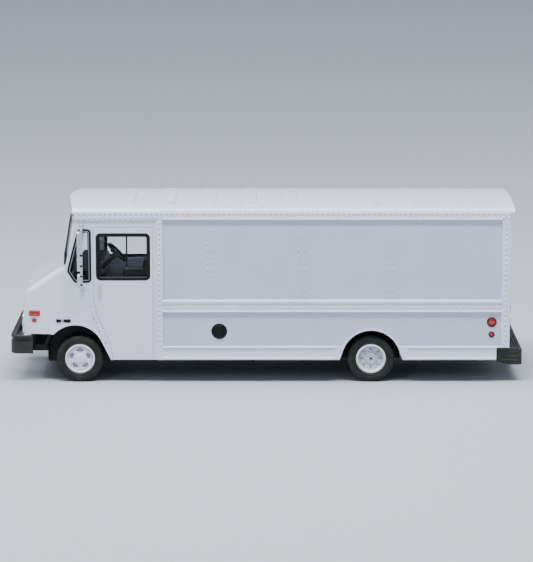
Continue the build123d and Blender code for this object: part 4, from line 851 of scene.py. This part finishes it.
for station, (points, pockets, (nut_ring, nut_depth), floor_depth) in wheel_faces.items():
    body = f"{station}_wheelset"
    for side, hand in ((-1, "left"), (1, "right")):
        low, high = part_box(f"{station}_hub_{hand}")
        middle, outward = (low + high) / 2, (0, side, 0)
        place = facing((middle.x, high.y if side > 0 else low.y, middle.z), outward)
        face = bmesh.new()
        wheel_face(face, place, points, pockets)
        # The rear faces take the painted shade colour; the front faces stay white.
        face_finish = wheel_white if station == "front" else painted_dish_shade
        make_piece(face, f"{station}_wheel_face_{hand}", body, face_finish)
        # A flat ring in the painted shade colour closes the pockets from behind.
        pocket_floor = bmesh.new()
        floor_place = place @ Matrix.Translation((0, 0, -floor_depth * mm))
        ring_width = pockets[3] * mm + 2 * floor_margin * mm
        outer = pockets[1] * mm + ring_width / 2
        floor_steps = ((0, -floor_lip), (0.02 * mm, 0), (ring_width, 0), (ring_width, -floor_lip))
        raise_form(pocket_floor, floor_place, (2 * outer,) * 2, outer, floor_steps, arc=12)
        make_piece(pocket_floor, f"{station}_wheel_pockets_{hand}", body, wheel_shade)
        nuts = bmesh.new()
        for nut in range(nut_count):
            angle = 2 * pi * (nut + 0.5) / nut_count
            spot = place @ (Vector((nut_ring * cos(angle), nut_ring * sin(angle), -nut_depth)) * mm)
            raise_form(nuts, facing(spot, outward), (nut_size,) * 2, nut_size / 2, nut_steps, arc=3)
        make_piece(nuts, f"{station}_wheel_nuts_{hand}", body, wheel_white)
        if station == "rear":
            end = bmesh.new()
            end_place = place @ Matrix.Translation((0, 0, -cap_end_depth))
            end_steps = [(0, -0.1 * mm)] + dome_steps(cap_end_proud, cap_end_radius)
            raise_form(end, end_place, (2 * cap_end_radius,) * 2, cap_end_radius, end_steps)
            make_piece(end, f"rear_axle_cap_{hand}", body, wheel_dark)

# ---------------------------------------------------------------- studio
# A pale round cove under soft light: a wide ceiling, a narrow box over the left side that rakes down it, and
# weaker boxes at the nose, the front left and the right rear.
floor_shade, tree, shader = new_finish("floor", (0.44, 0.46, 0.5), 0.85)
ripple(tree, shader, patches(tree, 20 * mm), 0.02 * mm)
floor_radius, bend, bend_steps, wall_top, cove_turns = 1.9, 0.6, 12, 3.0, 96
line = [(0.02, 0.0), (0.5, 0.0)]
for step in range(bend_steps + 1):
    angle = step * pi / 2 / bend_steps
    line.append((floor_radius + bend * sin(angle), bend - bend * cos(angle)))
line.append((floor_radius + bend, wall_top))
cove = bmesh.new()
turns = [2 * pi * turn / cove_turns for turn in range(cove_turns)]
rings = [[cove.verts.new((radius * cos(a), radius * sin(a), z)) for a in turns] for radius, z in line]
join_rings(cove, rings)
cove.faces.new(rings[0])
bmesh.ops.recalc_face_normals(cove, faces=cove.faces)
data = bpy.data.meshes.new("floor")
cove.to_mesh(data)
cove.free()
for face in data.polygons:
    face.use_smooth = True
floor = bpy.data.objects.new("floor", data)
bpy.context.scene.collection.objects.link(floor)
data.materials.append(floor_shade)
centre = (cad_box[0] + cad_box[1]) / 2


def softbox(name, place, size, power, aim=centre, colour=(0.97, 0.98, 1.0)):
    """Hangs a rectangular soft light there, aimed at the truck unless told otherwise."""
    lamp = bpy.data.lights.new(name, "AREA")
    lamp.shape = "RECTANGLE"
    lamp.size, lamp.size_y = size
    lamp.energy = power
    lamp.color = colour
    light = bpy.data.objects.new(name, lamp)
    light.location = place
    light.rotation_euler = (Vector(aim) - Vector(place)).to_track_quat("-Z", "Y").to_euler()
    bpy.context.scene.collection.objects.link(light)


softbox("ceiling", (0, 0, 2.4), (3.0, 3.0), 75.0, colour=(0.88, 0.94, 1.0))
softbox("overhead", (-0.02, -0.16, 0.46), (0.5, 0.08), 3.8)
softbox("nose", (-0.52, -0.05, 0.42), (0.2, 0.2), 1.1)
softbox("front_left", (-0.35, -0.6, 0.3), (0.25, 0.25), 0.7)
softbox("rear_right", (0.55, 0.3, 0.25), (0.3, 0.3), 0.9)
room_colour, room_light = (0.80, 0.85, 1.0), 0.14
world = bpy.data.worlds.new("world")
bpy.context.scene.world = world
world.use_nodes = True
room = world.node_tree.nodes["Background"]
room.inputs["Color"].default_value = (*room_colour, 1)
room.inputs["Strength"].default_value = room_light

# ---------------------------------------------------------------- camera
# Level with the load box and a little above it, square to the left side.
view_distance, view_height, view_width, film_width = 0.7, radians(10.5), 0.151, 36
eye = bpy.data.cameras.new("camera")
eye.sensor_width = film_width
eye.lens = film_width * view_distance / view_width
camera = bpy.data.objects.new("camera", eye)
camera.location = centre + Vector((0, -cos(view_height), sin(view_height))) * view_distance
camera.rotation_euler = (centre - camera.location).to_track_quat("-Z", "Y").to_euler()
bpy.context.scene.collection.objects.link(camera)
bpy.context.scene.camera = camera
